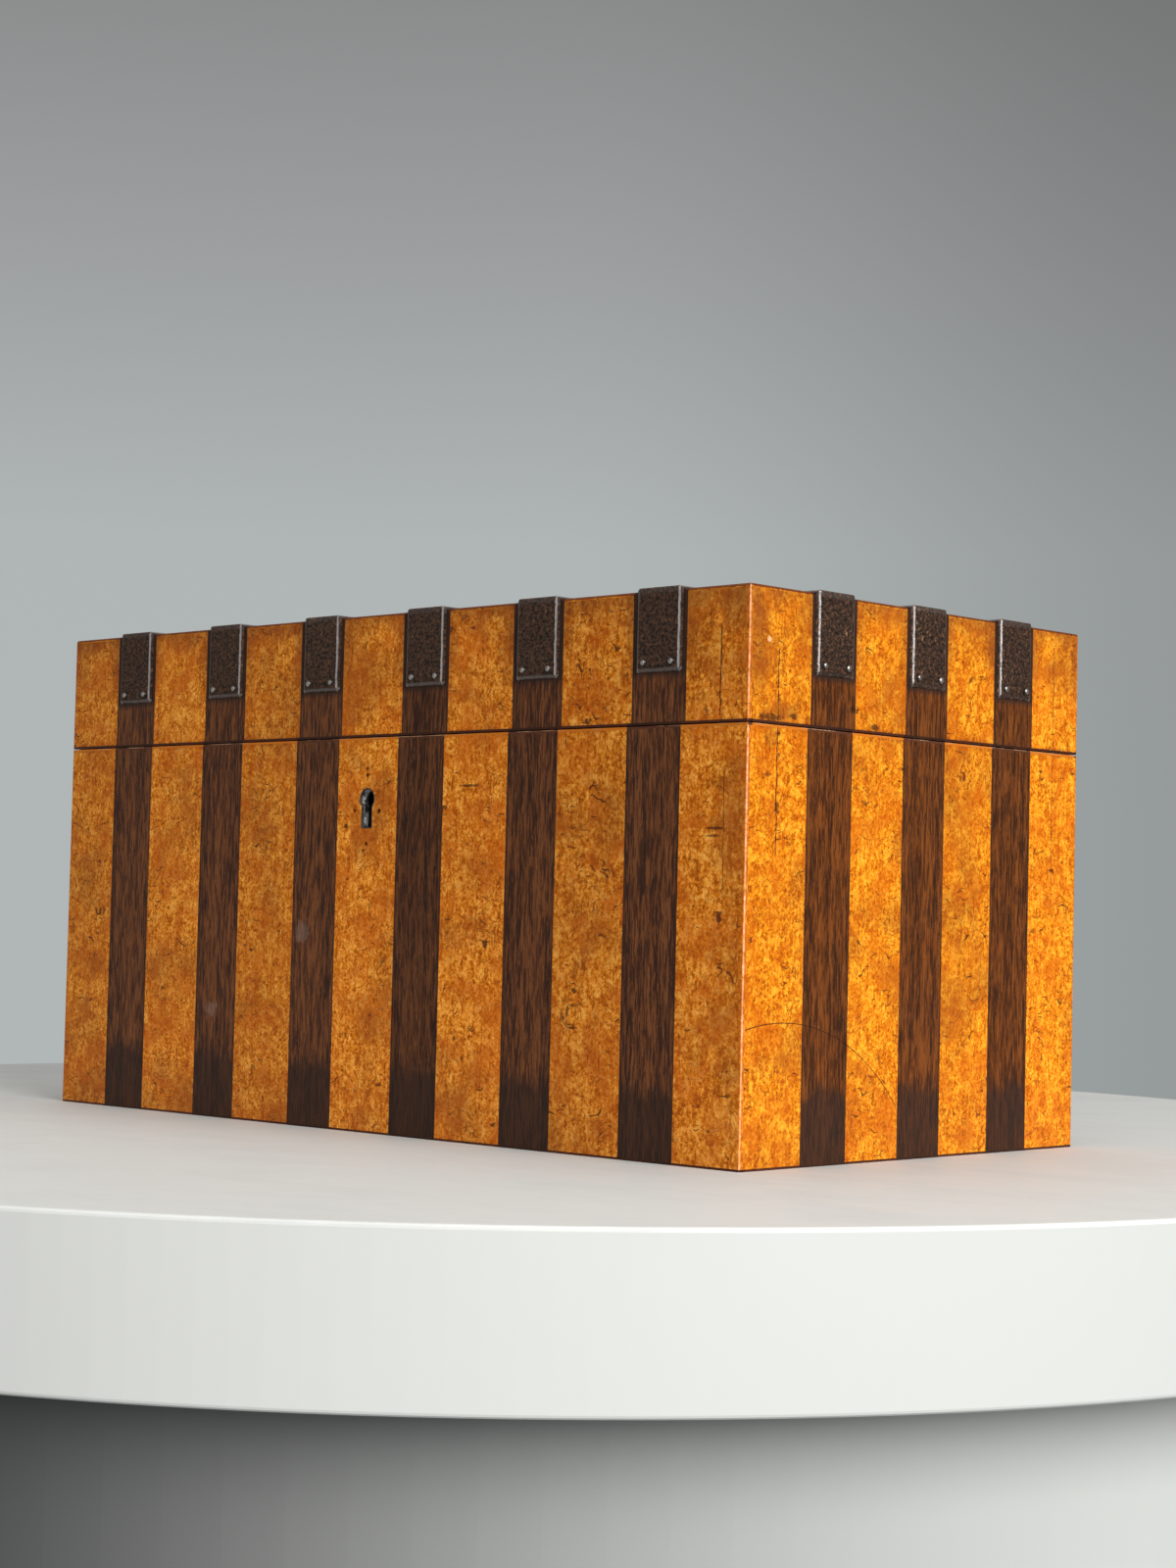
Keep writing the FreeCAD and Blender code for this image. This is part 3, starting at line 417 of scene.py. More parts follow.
    def group(self, effect: "Effect", **values: Value) -> Signals:
        """Place an effect's node group, feed its inputs and return its outputs.

        Args:
            effect: The effect.
            **values: Values of its inputs, whose names use _ for a space.

        Returns:
            The group's outputs by name.
        """
        node = self.add("Group")
        node.node_tree = effect.tree()
        self.feed(node, **values)
        return self.outputs(node)

    def surface(self, **values: Value) -> None:
        """Feed the inputs of the material's own shader."""
        self.feed(self.tree.nodes["Principled BSDF"], **values)

    def raised(self, height: Signal, depth: float) -> None:
        """Give the material's shader a bump of a depth in metres.

        Args:
            height: The relief, 1 for a full step.
            depth: Depth of a full step.
        """
        node = self.add("Bump")
        self.feed(node, Distance=depth, Height=height)
        self.surface(Normal=Signal(self, node.outputs["Normal"]))


class Effect:
    """A shared effect: a node group with named inputs and outputs, built once."""

    name = "effect"
    vectors: tuple[str, ...] = ("Vector", "Offset")
    inputs: tuple[str, ...] = ("Vector",)
    outputs: tuple[str, ...] = ()

    def tree(self) -> bpy.types.NodeTree:
        """Return the group, and build it on the first call.

        Returns:
            The effect's node group.
        """
        found = bpy.data.node_groups.get(self.name)
        if found:
            return found
        tree = bpy.data.node_groups.new(self.name, "ShaderNodeTree")
        for direction, names in (("INPUT", self.inputs), ("OUTPUT", self.outputs)):
            for name in names:
                kind = "NodeSocketVector" if name in self.vectors else "NodeSocketFloat"
                tree.interface.new_socket(name=name, in_out=direction, socket_type=kind)
        graph = Graph(tree)
        source = tree.nodes.new("NodeGroupInput")
        target = tree.nodes.new("NodeGroupOutput")
        for name, value in self.build(graph, graph.outputs(source)).items():
            graph.connect(target.inputs[name], value)
        return tree

    def build(self, graph: Graph, given: Signals) -> Signals:
        """Build the effect from its inputs and return its outputs by name."""
        raise NotImplementedError


class LeafChoice(Effect):
    """Gives each veneer leaf its own tone and its own place in the figure."""

    name = "leaf choice"
    inputs = ("Across", "Pitch", "Shift", "Seed")
    outputs = ("Tone", "Offset", "Off")

    def build(self, graph: Graph, given: Signals) -> Signals:
        """Number the leaves along the face, draw random values and measure off each middle.

        Args:
            graph: The group's node graph.
            given: The group's inputs by name.

        Returns:
            The group's outputs by name.
        """
        moved = given["Across"] - given["Shift"]
        number = graph.math("ROUND", moved / given["Pitch"])
        chance = graph.add("TexWhiteNoise", noise_dimensions="1D")
        graph.feed(chance, W=number + given["Seed"])
        drawn = graph.outputs(chance)
        return {"Tone": drawn["Value"], "Offset": drawn["Color"], "Off": abs(moved - number * given["Pitch"])}


class BurrFigure(Effect):
    """Burr figure: broad clouds, fine grain, curled lines, dark eyes and short checks."""

    name = "burr figure"
    inputs = ("Vector", "Offset")
    outputs = ("Clouds", "Grain", "Curls", "Eyes", "Checks")
    eye_sizes = ((330.0, 0.19, 0.68), (760.0, 0.26, 0.72))

    def build(self, graph: Graph, given: Signals) -> Signals:
        """Layer noises from 30 mm clouds down to 0.3 mm specks.

        Args:
            graph: The group's node graph.
            given: The group's inputs by name.

        Returns:
            The group's outputs by name.
        """
        place = graph.moved(given["Vector"], given["Offset"])
        upright = graph.scaled(place, 1.0, 1.0, 0.8)
        seeds = graph.noise(place, 1250.0, 4.0, 0.70, 0.5)
        mottle = graph.noise(upright, 430.0, 4.0, 0.70, 0.7)
        fibre = graph.fibres(place, 1300.0, 90.0, 3.0, 0.6, 0.2)
        grain = fibre.fitted(0.12, seeds.fitted(0.5, mottle * 0.38))
        ridge = abs(graph.noise(place, 430.0, 2.0, 0.5, 1.6) - 0.5)
        here = graph.noise(graph.moved(place, (1.3, 5.1, 2.7)), 170.0).ease(0.47, 0.62)
        crowd = graph.noise(place, 75.0).ease(0.38, 0.62)
        eye_mask: Value = 0.0
        for scale, reach, rarity in self.eye_sizes:
            eyes = graph.cells(upright, scale)
            rare = graph.split(eyes["Color"])["X"].ease(rarity, rarity + 0.12)
            dots = eyes["Distance"].fade(reach * 0.4, reach) * rare
            eye_mask = (dots * crowd).most(eye_mask)
        tipped = graph.moved(place, graph.scaled(graph.noise(place, 120.0, 2.0), 0.0, 0.0, 0.012))
        flat = graph.fibres(tipped, 210.0, 1900.0, 2.0, 0.5, 0.3)
        tall = graph.fibres(place, 1700.0, 200.0, 2.0, 0.5, 0.3)
        where = graph.noise(graph.moved(place, (3.1, 1.7, 0.4)), 95.0, 2.0).ease(0.45, 0.56)
        return {
            "Clouds": graph.noise(place, 110.0, 4.0, 0.66, 0.3),
            "Grain": grain,
            "Curls": ridge.fade(0.008, 0.026) * here,
            "Eyes": eye_mask,
            "Checks": flat.ease(0.635, 0.675).most(tall.ease(0.67, 0.72)) * where,
        }


class StraightGrain(Effect):
    """Straight upright grain: broad and fine streaks, short open pores and light flecks."""

    name = "straight grain"
    inputs = ("Vector", "Offset")
    outputs = ("Streaks", "Fine", "Pores", "Flecks")

    def build(self, graph: Graph, given: Signals) -> Signals:
        """Stretch noises along the grain, which runs along Z of the vector.

        Args:
            graph: The group's node graph.
            given: The group's inputs by name.

        Returns:
            The group's outputs by name.
        """
        place = graph.moved(given["Vector"], given["Offset"])
        wave = graph.noise(graph.scaled(place, 20.0, 20.0, 9.0), 1.0, 2.0)
        bent = graph.moved(place, graph.scaled(wave, 0.004, 0.004, 0.0))
        return {
            "Streaks": graph.fibres(bent, 330.0, 12.0, 4.0, 0.66),
            "Fine": graph.fibres(bent, 1500.0, 150.0, 4.0, 0.72),
            "Pores": graph.fibres(bent, 3300.0, 260.0, 2.0, 0.5).ease(0.60, 0.68),
            "Flecks": graph.fibres(bent, 1900.0, 430.0, 3.0, 0.6).ease(0.60, 0.74),
        }


class WornArris(Effect):
    """Mask of the rubbed outer arrises: the four uprights and the lid's top edges."""

    name = "worn arris"
    inputs = ("Vector", "Reach")
    outputs = ("Upright", "Halo", "Top")

    def build(self, graph: Graph, given: Signals) -> Signals:
        """Measure how near a point is to each arris, broken up by a fine noise.

        Args:
            graph: The group's node graph.
            given: The group's inputs by name.

        Returns:
            The group's outputs by name.
        """
        axes = graph.split(given["Vector"])
        from_side = SIZES.half_width - abs(axes["X"])
        from_face = SIZES.half_depth - abs(axes["Y"])
        chip = graph.noise(given["Vector"], 420.0, 5.0, 0.75)
        reach = given["Reach"] * chip.ease(0.34, 0.66, 0.35, 1.5)
        upright = from_side + from_face
        over = (SIZES.lid_top - axes["Z"]) + graph.math("MINIMUM", from_side, from_face)
        line = abs(from_side - from_face).fade(reach * 0.5, reach)
        faded = graph.noise(given["Vector"], 900.0, 4.0, 0.7).ease(0.38, 0.62, 0.35, 1.0)
        return {
            "Upright": upright.fade(0.7 * MM, 0.9 * MM) * line * faded,
            "Halo": upright.fade(reach * 0.6, reach * 4.0),
            "Top": over.fade(0.5 * MM, 0.8 * MM),
        }


class Soiling(Effect):
    """Mask of handling dirt: at the foot, along the seam and under the lid's top edge."""

    name = "soiling"
    outputs = ("Foot", "Seam", "Top", "Patches")

    def build(self, graph: Graph, given: Signals) -> Signals:
        """Fade each zone away from its edge, with a ragged border.

        Args:
            graph: The group's node graph.
            given: The group's inputs by name.

        Returns:
            The group's outputs by name.
        """
        height = graph.split(given["Vector"])["Z"]
        ragged = graph.noise(given["Vector"], 130.0, 4.0, 0.65) * (14.0 * MM)
        thin = graph.noise(given["Vector"], 300.0, 4.0, 0.7) * (4.2 * MM)
        return {
            "Foot": (height + ragged).fade(9.0 * MM, 31.0 * MM),
            "Seam": (abs(height - SIZES.seam) + thin).fade(1.9 * MM, 3.6 * MM),
            "Top": ((SIZES.lid_top - height) + ragged).fade(5.0 * MM, 15.0 * MM),
            "Patches": graph.noise(given["Vector"], 34.0, 4.0, 0.6, 0.4).ease(0.46, 0.68),
        }


class LineMark(Effect):
    """Mask of one hairline: nearly straight along one axis, between two ends."""

    name = "line mark"
    inputs = ("Across", "Along", "Place", "Low", "High", "Width")
    outputs = ("Mask",)

    def build(self, graph: Graph, given: Signals) -> Signals:
        """Let the line wander a little and break up along its way.

        Args:
            graph: The group's node graph.
            given: The group's inputs by name.

        Returns:
            The group's outputs by name.
        """
        seed = graph.join(given["Place"], 0.0, given["Along"])
        sway = graph.noise(seed, 150.0, 4.0, 0.75).fitted(1.8 * MM, -0.9 * MM)
        line = (given["Across"] - given["Place"] - sway).stroke(given["Width"])
        broken = graph.noise(seed, 420.0, 3.0, 0.7).ease(0.36, 0.52, 0.45, 1.0)
        return {"Mask": line * (given["Along"].between(given["Low"], given["High"]) * broken)}


class SpotMark(Effect):
    """Mask of one stain, chip, scuff or patch of painted shade, with a ragged border."""

    name = "spot mark"
    inputs = ("Across", "Along", "Place", "Level", "Width", "Height", "Grain", "Strength")
    outputs = ("Mask",)

    def build(self, graph: Graph, given: Signals) -> Signals:
        """Use the distance from the spot's middle, scaled to its width and height.

        Args:
            graph: The group's node graph.
            given: The group's inputs by name.

        Returns:
            The group's outputs by name.
        """
        across = (given["Across"] - given["Place"]) / given["Width"]
        along = (given["Along"] - given["Level"]) / given["Height"]
        seed = graph.join(given["Across"], given["Place"], given["Along"])
        ragged = graph.noise(seed, given["Grain"], 4.0, 0.75).fitted(3.0, -1.5)
        edge = graph.math("SQRT", across * across + along * along) + ragged
        return {"Mask": edge.fade(0.35, 1.15) * given["Strength"]}


class ArcMark(Effect):
    """Mask of one long curved scratch."""

    name = "arc mark"
    inputs = ("Across", "Along", "Place", "Level", "Radius", "Width", "Start", "End")
    outputs = ("Mask",)

    def build(self, graph: Graph, given: Signals) -> Signals:
        """Keep what lies near a circle's upper half, between two places across the face.

        Args:
            graph: The group's node graph.
            given: The group's inputs by name.

        Returns:
            The group's outputs by name.
        """
        across = given["Across"] - given["Place"]
        along = given["Along"] - given["Level"]
        off = graph.math("SQRT", across * across + along * along) - given["Radius"]
        inside = given["Across"].between(given["Start"], given["End"]) * along.ease(0.0, 1.0 * MM)
        return {"Mask": off.stroke(given["Width"]) * inside}


class HammeredGround(Effect):
    """Uneven forged ground: soft dents, small pits and a few rusty specks."""

    name = "hammered ground"
    outputs = ("Dents", "Pits", "Specks", "Clouds")

    def build(self, graph: Graph, given: Signals) -> Signals:
        """Use cells of 2 to 3 mm for dents and of under 1 mm for pits.

        Args:
            graph: The group's node graph.
            given: The group's inputs by name.

        Returns:
            The group's outputs by name.
        """
        place = given["Vector"]
        cells = graph.cells(place, 950.0)
        rare = graph.split(cells["Color"])["X"].ease(0.55, 0.62)
        zone = graph.noise(place, 130.0).ease(0.48, 0.60)
        loose = graph.noise(graph.scaled(place, 1.0, 1.0, 0.7), 900.0, 4.0, 0.7)
        return {
            "Dents": graph.cells(place, 420.0, "SMOOTH_F1")["Distance"],
            "Pits": cells["Distance"].fade(0.12, 0.30) * rare,
            "Specks": loose.ease(0.60, 0.68) * zone,
            "Clouds": graph.noise(graph.scaled(place, 1.0, 1.0, 1.3), 980.0, 5.0, 0.74, 0.4),
        }


class StrapWearAndHighlights(Effect):
    """Masks of a strap's bevels, rubbed and with a painted highlight, of its ends' painted highlight and of
    its rubbed folds.
    """

    name = "strap wear"
    inputs = ("Vector", "Across", "Along", "Pitch", "Shift", "Half length")
    outputs = ("Bevel", "End", "Fold")

    def build(self, graph: Graph, given: Signals) -> Signals:
        """Measure the distance from the nearest strap's middle, its end and its fold.

        Args:
            graph: The group's node graph.
            given: The group's inputs by name.

        Returns:
            The group's outputs by name.
        """
        moved = given["Across"] - given["Shift"]
        nearest = graph.math("ROUND", moved / given["Pitch"]) * given["Pitch"]
        shake = graph.noise(given["Vector"], 500.0).fitted(0.5 * MM, -0.25 * MM)
        shaken = abs(moved - nearest) + shake
        height = graph.split(given["Vector"])["Z"] + shake
        start = SIZES.strap_half - SIZES.strap_bevel
        end = SIZES.strap_end
        out = given["Half length"] - abs(given["Along"])
        reach = abs(out) + abs(SIZES.lid_top - height)
        # The bevel mask keeps only a thin inner band, where the highlight is painted.
        onto_bevel = shaken.ease(start - 0.15 * MM, start + 0.05 * MM)
        onto_end = height.ease(end + 0.10 * MM, end + 0.35 * MM)
        return {
            "Bevel": onto_bevel * shaken.fade(start + 0.35 * MM, start + 0.60 * MM),
            # The end mask is a painted highlight along the end's bevel.
            "End": onto_end * height.fade(end + 0.80 * MM, end + 1.10 * MM),
            "Fold": reach.fade(0.9 * MM, 1.9 * MM),
        }


class Brushing(Effect):
    """Fine file and polishing lines with soft tarnish clouds."""

    name = "brushing"
    outputs = ("Lines", "Tarnish")

    def build(self, graph: Graph, given: Signals) -> Signals:
        """Stretch a fine noise along X and lay clouds over it."""
        lines = graph.noise(graph.scaled(given["Vector"], 90.0, 4200.0, 4200.0), 1.0, 2.0)
        return {"Lines": lines, "Tarnish": graph.noise(given["Vector"], 160.0, 5.0, 0.7, 0.4)}


class Tone(Enum):
    """How a mark differs from the wood round it."""

    DARK = "dark"
    PALE = "pale"
    BROWN = "brown"


@dataclass(frozen=True)
class Hairline:
    """A shrinkage crack, in millimetres: its place across the face and its two ends."""

    place: float
    low: float
    high: float
    width: float = 0.30
    tone: Tone = Tone.DARK

    def mask(self, graph: Graph, across: Signal, along: Signal) -> Signal:
        """Return the crack's mask."""
        return graph.group(LineMark(), Across=across, Along=along, Place=self.place * MM,
                           Low=self.low * MM, High=self.high * MM, Width=self.width * MM)["Mask"]


@dataclass(frozen=True)
class Spot:
    """A stain, chip, scuff or patch of painted shade, in millimetres: its middle and its half width and half
    height.
    """

    place: float
    level: float
    width: float
    height: float
    tone: Tone = Tone.DARK
    strength: float = 1.0
    grain: float = 700.0

    def mask(self, graph: Graph, across: Signal, along: Signal) -> Signal:
        """Return the spot's mask.

        Args:
            graph: The material's node graph.
            across: Place across the face in metres.
            along: Level on the face in metres.

        Returns:
            The mask, 0 to 1.
        """
        return graph.group(SpotMark(), Across=across, Along=along, Place=self.place * MM,
                           Level=self.level * MM, Width=self.width * MM, Height=self.height * MM,
                           Grain=self.grain, Strength=self.strength)["Mask"]


@dataclass(frozen=True)
class Arc:
    """A curved scratch, in millimetres: its circle and the places across the face where it ends."""

    place: float
    level: float
    radius: float
    start: float
    end: float
    width: float = 0.2
    tone: Tone = Tone.DARK

    def mask(self, graph: Graph, across: Signal, along: Signal) -> Signal:
        """Return the scratch's mask.

        Args:
            graph: The material's node graph.
            across: Place across the face in metres.
            along: Level on the face in metres.

        Returns:
            The mask, 0 to 1.
        """
        return graph.group(ArcMark(), Across=across, Along=along, Place=self.place * MM,
                           Level=self.level * MM, Radius=self.radius * MM, Width=self.width * MM,
                           Start=self.start * MM, End=self.end * MM)["Mask"]


NAIL_HOLES = ((0.0, 98.3), (0.0, 96.4), (-5.0, 86.8), (5.0, 86.8), (0.0, 77.9), (-1.2, 76.0), (-8.3, 82.7))
FRONT_MARKS = (
    Hairline(126.0, 107.5, 131.0),
    Hairline(127.8, 64.0, 97.0, 0.16),
    # Dark dots at the old nail holes: painted shade for the depth of the holes.
    *(Spot(x, z, 0.75, 0.75, Tone.DARK, 0.9, 300.0) for x, z in NAIL_HOLES),
    Spot(0.0, 80.0, 8.0, 10.0, Tone.BROWN, 0.55, 160.0),
    # Soft brown patches towards the near arris: painted shade with some soiling.
    Spot(131.0, 84.0, 7.0, 20.0, Tone.BROWN, 0.65, 150.0),
    Spot(132.0, 40.0, 7.0, 34.0, Tone.BROWN, 0.45, 150.0),
    Spot(118.0, 124.0, 9.0, 14.0, Tone.BROWN, 0.6, 150.0),
    Spot(132.0, 134.0, 7.0, 8.0, Tone.BROWN, 0.8, 190.0),
    Spot(117.0, 137.0, 5.0, 3.0, Tone.BROWN, 0.7, 190.0),
    Spot(124.5, 81.4, 4.0, 0.35, Tone.DARK, 0.8, 240.0),
    Spot(124.0, 79.6, 2.6, 0.35, Tone.DARK, 0.7, 240.0),
    Spot(39.0, 93.0, 4.6, 0.4, Tone.DARK, 0.8, 240.0),
    Spot(-64.6, 30.5, 3.2, 2.6, Tone.PALE, 0.35, 420.0),
    Spot(-25.6, 53.7, 3.2, 3.4, Tone.PALE, 0.35, 420.0),
)
RIGHT_MARKS = (
    Hairline(-58.6, 74.0, 126.0, 0.26),
    Hairline(57.6, 70.0, 136.0, 0.16),
    Arc(-55.0, -24.0, 59.0, -69.5, -8.0, 0.16),
    Spot(-58.0, 110.0, 8.0, 3.2, Tone.BROWN, 0.9, 240.0),
    Spot(-61.0, 104.0, 3.2, 3.0, Tone.BROWN, 0.7, 420.0),
    Spot(-62.0, 108.3, 5.0, 1.0, Tone.DARK, 0.8, 420.0),
    Spot(-29.6, 112.4, 1.0, 1.0, Tone.DARK, 0.8, 420.0),
    Spot(-66.0, 122.0, 4.0, 18.0, Tone.BROWN, 0.5, 190.0),
    Spot(-52.5, 109.0, 2.4, 0.8, Tone.DARK, 0.75),
    Spot(-62.0, 94.6, 1.6, 0.9, Tone.DARK, 0.6),
    Spot(-20.6, 108.6, 2.5, 0.9, Tone.DARK, 0.8),
    Spot(-15.4, 98.3, 0.8, 0.5, Tone.DARK, 0.8),
    Spot(-8.9, 98.6, 0.9, 0.6, Tone.DARK, 0.8),
    Spot(-28.0, 112.0, 0.8, 0.9, Tone.DARK, 0.7),
    Spot(-62.0, 127.1, 0.9, 0.9, Tone.PALE, 0.8),
)


class Finish:
    """A procedural surface: subclasses wire their look into one Principled shader."""

    name: str

    def build(self) -> bpy.types.Material:
        """Return the material, and make it on the first call.

        Returns:
            The material.
        """
        found = bpy.data.materials.get(self.name)
        if found:
            return found
        material = bpy.data.materials.new(self.name)
        material.use_nodes = True
        graph = Graph(material.node_tree)
        self.dress(graph, graph.outputs(graph.add("TexCoord"))["Object"])
        return material

    def dress(self, graph: Graph, place: Signal) -> None:
        """Wire the look into the shader, from object coordinates."""
        raise NotImplementedError


@dataclass(frozen=True)
class Veneer(Finish):
    """What all veneers share: their face, the leaves' pitch, the marks on them, and the face's tint, which
    paints how that face is lit.
    """

    name: str
    face: Face
    layout: Layout
    seed: float
    # Tint of the face: painted light and shade for how the lamps light it.
    face_light_cast: Triple = (1.0, 1.0, 1.0)
    marks: tuple[Hairline | Spot | Arc, ...] = ()
    worn_reach: float = 0.3 * MM
    tones: tuple[float, float] = (0.86, 1.05)
    polish: tuple[float, float] = (0.36, 0.46)
    specular: float = 0.1
    relief: float = 0.06 * MM
    coat_weight: float = 0.02
    coat_roughness: float = 0.3

    def tinge(self, graph: Graph, tone: Signal) -> Signal:
        """Return a leaf's tone as a colour, tinged by its face's tint, painted light and shade for that face.
        """
        return graph.join(*(tone * share for share in self.face_light_cast))

    def leaves(self, graph: Graph, axes: Signals, shift: float) -> Signals:
        """Place the leaf choice for this face, its leaves a shift away from the rosewood's middles."""
        return graph.group(LeafChoice(), Across=axes[self.face.across], Pitch=self.layout.pitch,
                           Shift=self.layout.middle + shift, Seed=self.seed)

    def mark_masks(self, graph: Graph, axes: Signals) -> dict[Tone, Value]:
        """Return the mask of each tone, from the marks on this face.

        Args:
            graph: The material's node graph.
            axes: The Object coordinates by axis.

        Returns:
            A mask for each tone, 0 for a tone without marks.
        """
        masks: dict[Tone, Value] = {tone: 0.0 for tone in Tone}
        for mark in self.marks:
            masks[mark.tone] = mark.mask(graph, axes[self.face.across], axes["Z"]).most(masks[mark.tone])
        return masks

    def polished(self, graph: Graph, colour: Signal, roughness: Signal, height: Signal) -> None:
        """Feed the shader as old, thin, dull polish over a faint relief.

        Args:
            graph: The material's node graph.
            colour: The wood's colour.
            roughness: Its roughness.
            height: Its relief, 1 for a full step.
        """
        graph.surface(Base_Color=colour, Roughness=roughness, Specular_IOR_Level=self.specular,
                      Coat_Roughness=self.coat_roughness, Coat_Weight=self.coat_weight)
        graph.raised(height, self.relief)


@dataclass(frozen=True)
class BurrMaple(Veneer):
    """Amber burr maple under old varnish."""

    light: Colour = tint(250, 178, 72)
    middle: Colour = tint(222, 128, 18)
    deep: Colour = tint(156, 70, 0)
    red: Colour = tint(188, 86, 8)
    brown: Colour = tint(128, 66, 18)
    dark: Colour = tint(66, 30, 12)
    pale: Colour = tint(240, 186, 142)
    curl: Colour = tint(116, 50, 4)
    # Dark brown of the soiling and of the painted shade beside the straps.
    grime_and_shade: Colour = tint(112, 54, 22)
    crack: Colour = tint(54, 25, 13)
    edge: Colour = tint(78, 34, 20)

    def dress(self, graph: Graph, place: Signal) -> None:
        """Colour by figure, leaf tone, soiling with painted shade beside the straps, marks and worn arrises.

        Args:
            graph: The material's node graph.
            place: The Object coordinates.
        """
        axes = graph.split(place)
        leaf = self.leaves(graph, axes, self.layout.pitch / 2)
        figure = graph.group(BurrFigure(), Vector=place, Offset=leaf["Offset"])
        worn = graph.group(WornArris(), Vector=place, Reach=self.worn_reach)
        soil = graph.group(Soiling(), Vector=place)
        marks = self.mark_masks(graph, axes)
        grain = figure["Grain"].ease(0.39, 0.62)
        clouds = figure["Clouds"].ease(0.42, 0.64)
        flecks = (figure["Eyes"] * 0.8).most(figure["Checks"] * 0.85)
        dirt_and_shade = (soil["Foot"] * 0.12).most(soil["Top"] * (0.14 if self.face is Face.TOP else 0.72))
        # Besides the soiling, this mask holds the painted shade beside the straps.
        dirt_and_shade = dirt_and_shade.most(soil["Seam"] * 0.6).most(self.strap_shadow(graph, axes, leaf["Off"], place))
        ground = graph.ramp(grain, [(0.0, self.deep), (0.45, self.middle), (1.0, self.light)])
        figured = graph.layered(ground, ((clouds * 0.62, self.red), (figure["Curls"] * 0.6, self.curl)))
        tone = leaf["Tone"].ease(0.0, 1.0, *self.tones)
        toned = graph.blend(1.0, figured, self.tinge(graph, tone), "MULTIPLY")
        coloured = graph.layered(toned, (
            (soil["Patches"] * 0.44, self.brown),
            (flecks, self.dark),
            (dirt_and_shade, self.grime_and_shade),
            (marks[Tone.BROWN] * 0.62, self.brown),
            (marks[Tone.DARK], self.crack),
            (worn["Halo"] * 0.5, self.red),
            (worn["Upright"].most(marks[Tone.PALE]), self.pale),
            (worn["Top"] * 0.85, self.edge),
        ))
        rough = grain.ease(0.0, 1.0, *self.polish).most(dirt_and_shade * 0.9)
        self.polished(graph, coloured, rough, grain * 0.12 - flecks.most(marks[Tone.DARK]))

    def strap_shadow(self, graph: Graph, axes: Signals, off: Signal, place: Signal) -> Signal:
        """Mask of the maple darkened close to the straps on the lid: painted shade, with some soiling.

        Args:
            graph: The material's node graph.
            axes: The Object coordinates by axis.
            off: Distance from the leaf's middle in metres.
            place: The Object coordinates.

        Returns:
            The mask.
        """
        border = self.layout.pitch / 2 - SIZES.half_band
        ragged = graph.noise(place, 160.0, 4.0, 0.65).fitted(7.0 * MM, -3.5 * MM)
        close = (off + ragged).ease(border - 5.0 * MM, border, 0.0, 0.55)
        return close * axes["Z"].ease(SIZES.strap_end - 4.0 * MM, SIZES.lid_top - 4.0 * MM)


@dataclass(frozen=True)
class Rosewood(Veneer):
    """Dark red-brown rosewood with upright grain, darkened beside the straps by soiling and painted shadow.
    """

    tones: tuple[float, float] = (0.80, 1.12)
    polish: tuple[float, float] = (0.36, 0.48)
    specular: float = 0.08
    relief: float = 0.05 * MM
    # Strength of the strap margin: soiling with painted shadow.
    margin_dirt_and_shadow: float = 0.85
    light: Colour = tint(126, 70, 32)
    middle: Colour = tint(95, 50, 22)
    deep: Colour = tint(58, 31, 16)
    pore: Colour = tint(32, 17, 10)
    fleck: Colour = tint(150, 104, 74)
    # Dark of the soiling and of the painted shadow round the straps.
    grime_and_shade: Colour = tint(42, 30, 25)
    crack: Colour = tint(28, 15, 10)
    scuff: Colour = tint(150, 128, 116)
    edge: Colour = tint(60, 28, 20)

    def dress(self, graph: Graph, place: Signal) -> None:
        """Colour by grain, leaf tone, soiling and the dark margin of the straps, partly painted shadow.

        Args:
            graph: The material's node graph.
            place: The Object coordinates.
        """
        axes = graph.split(place)
        leaf = self.leaves(graph, axes, 0.0)
        turned = graph.join(axes["X"], axes["Z"], axes["Y"]) if self.face is Face.TOP else place
        grain = graph.group(StraightGrain(), Vector=turned, Offset=leaf["Offset"])
        worn = graph.group(WornArris(), Vector=place, Reach=self.worn_reach)
        soil = graph.group(Soiling(), Vector=place)
        marks = self.mark_masks(graph, axes)
        fine = grain["Fine"].ease(0.41, 0.59)
        share = grain["Streaks"].ease(0.38, 0.62) * 0.34 + fine * 0.66
        ground = graph.ramp(share, [(0.14, self.deep), (0.5, self.middle), (0.86, self.light)])
        tone = leaf["Tone"].ease(0.0, 1.0, *self.tones)
        toned = graph.blend(1.0, ground, self.tinge(graph, tone), "MULTIPLY")
        joint = leaf["Off"].ease(SIZES.half_band - 1.1 * MM, SIZES.half_band - 0.1 * MM, 0.0, 0.6)
        # The strap margin adds the straps' painted shadow to the soiling.
        dirt_and_shade = soil["Foot"].ease(0.0, 0.36, 0.0, 0.74).most(self.strap_margin(axes))
        dirt_and_shade = dirt_and_shade.most(soil["Patches"] * 0.12).most(joint)
        coloured = graph.layered(toned, (
            (grain["Pores"] * 0.55, self.pore),
            (grain["Flecks"] * 0.32, self.fleck),
            (dirt_and_shade, self.grime_and_shade),
            (marks[Tone.DARK] * 0.8, self.crack),
            (marks[Tone.PALE] * 0.8, self.scuff),
            (worn["Top"] * 0.6, self.edge),
        ))
        rough = fine.ease(0.0, 1.0, *self.polish)
        self.polished(graph, coloured, rough, fine * 0.3 - grain["Pores"])

    def strap_margin(self, axes: Signals) -> Value:
        """Mask of the wood darkened round each strap's end: soiling by the iron, and painted shadow of the
        strap beside and below it.

        Args:
            axes: The Object coordinates by axis.

        Returns:
            The mask.
        """
        if self.face is Face.TOP:
            return self.margin_dirt_and_shadow
        return axes["Z"].ease(SIZES.strap_end - 2.2 * MM, SIZES.strap_end + 0.2 * MM) * self.margin_dirt_and_shadow


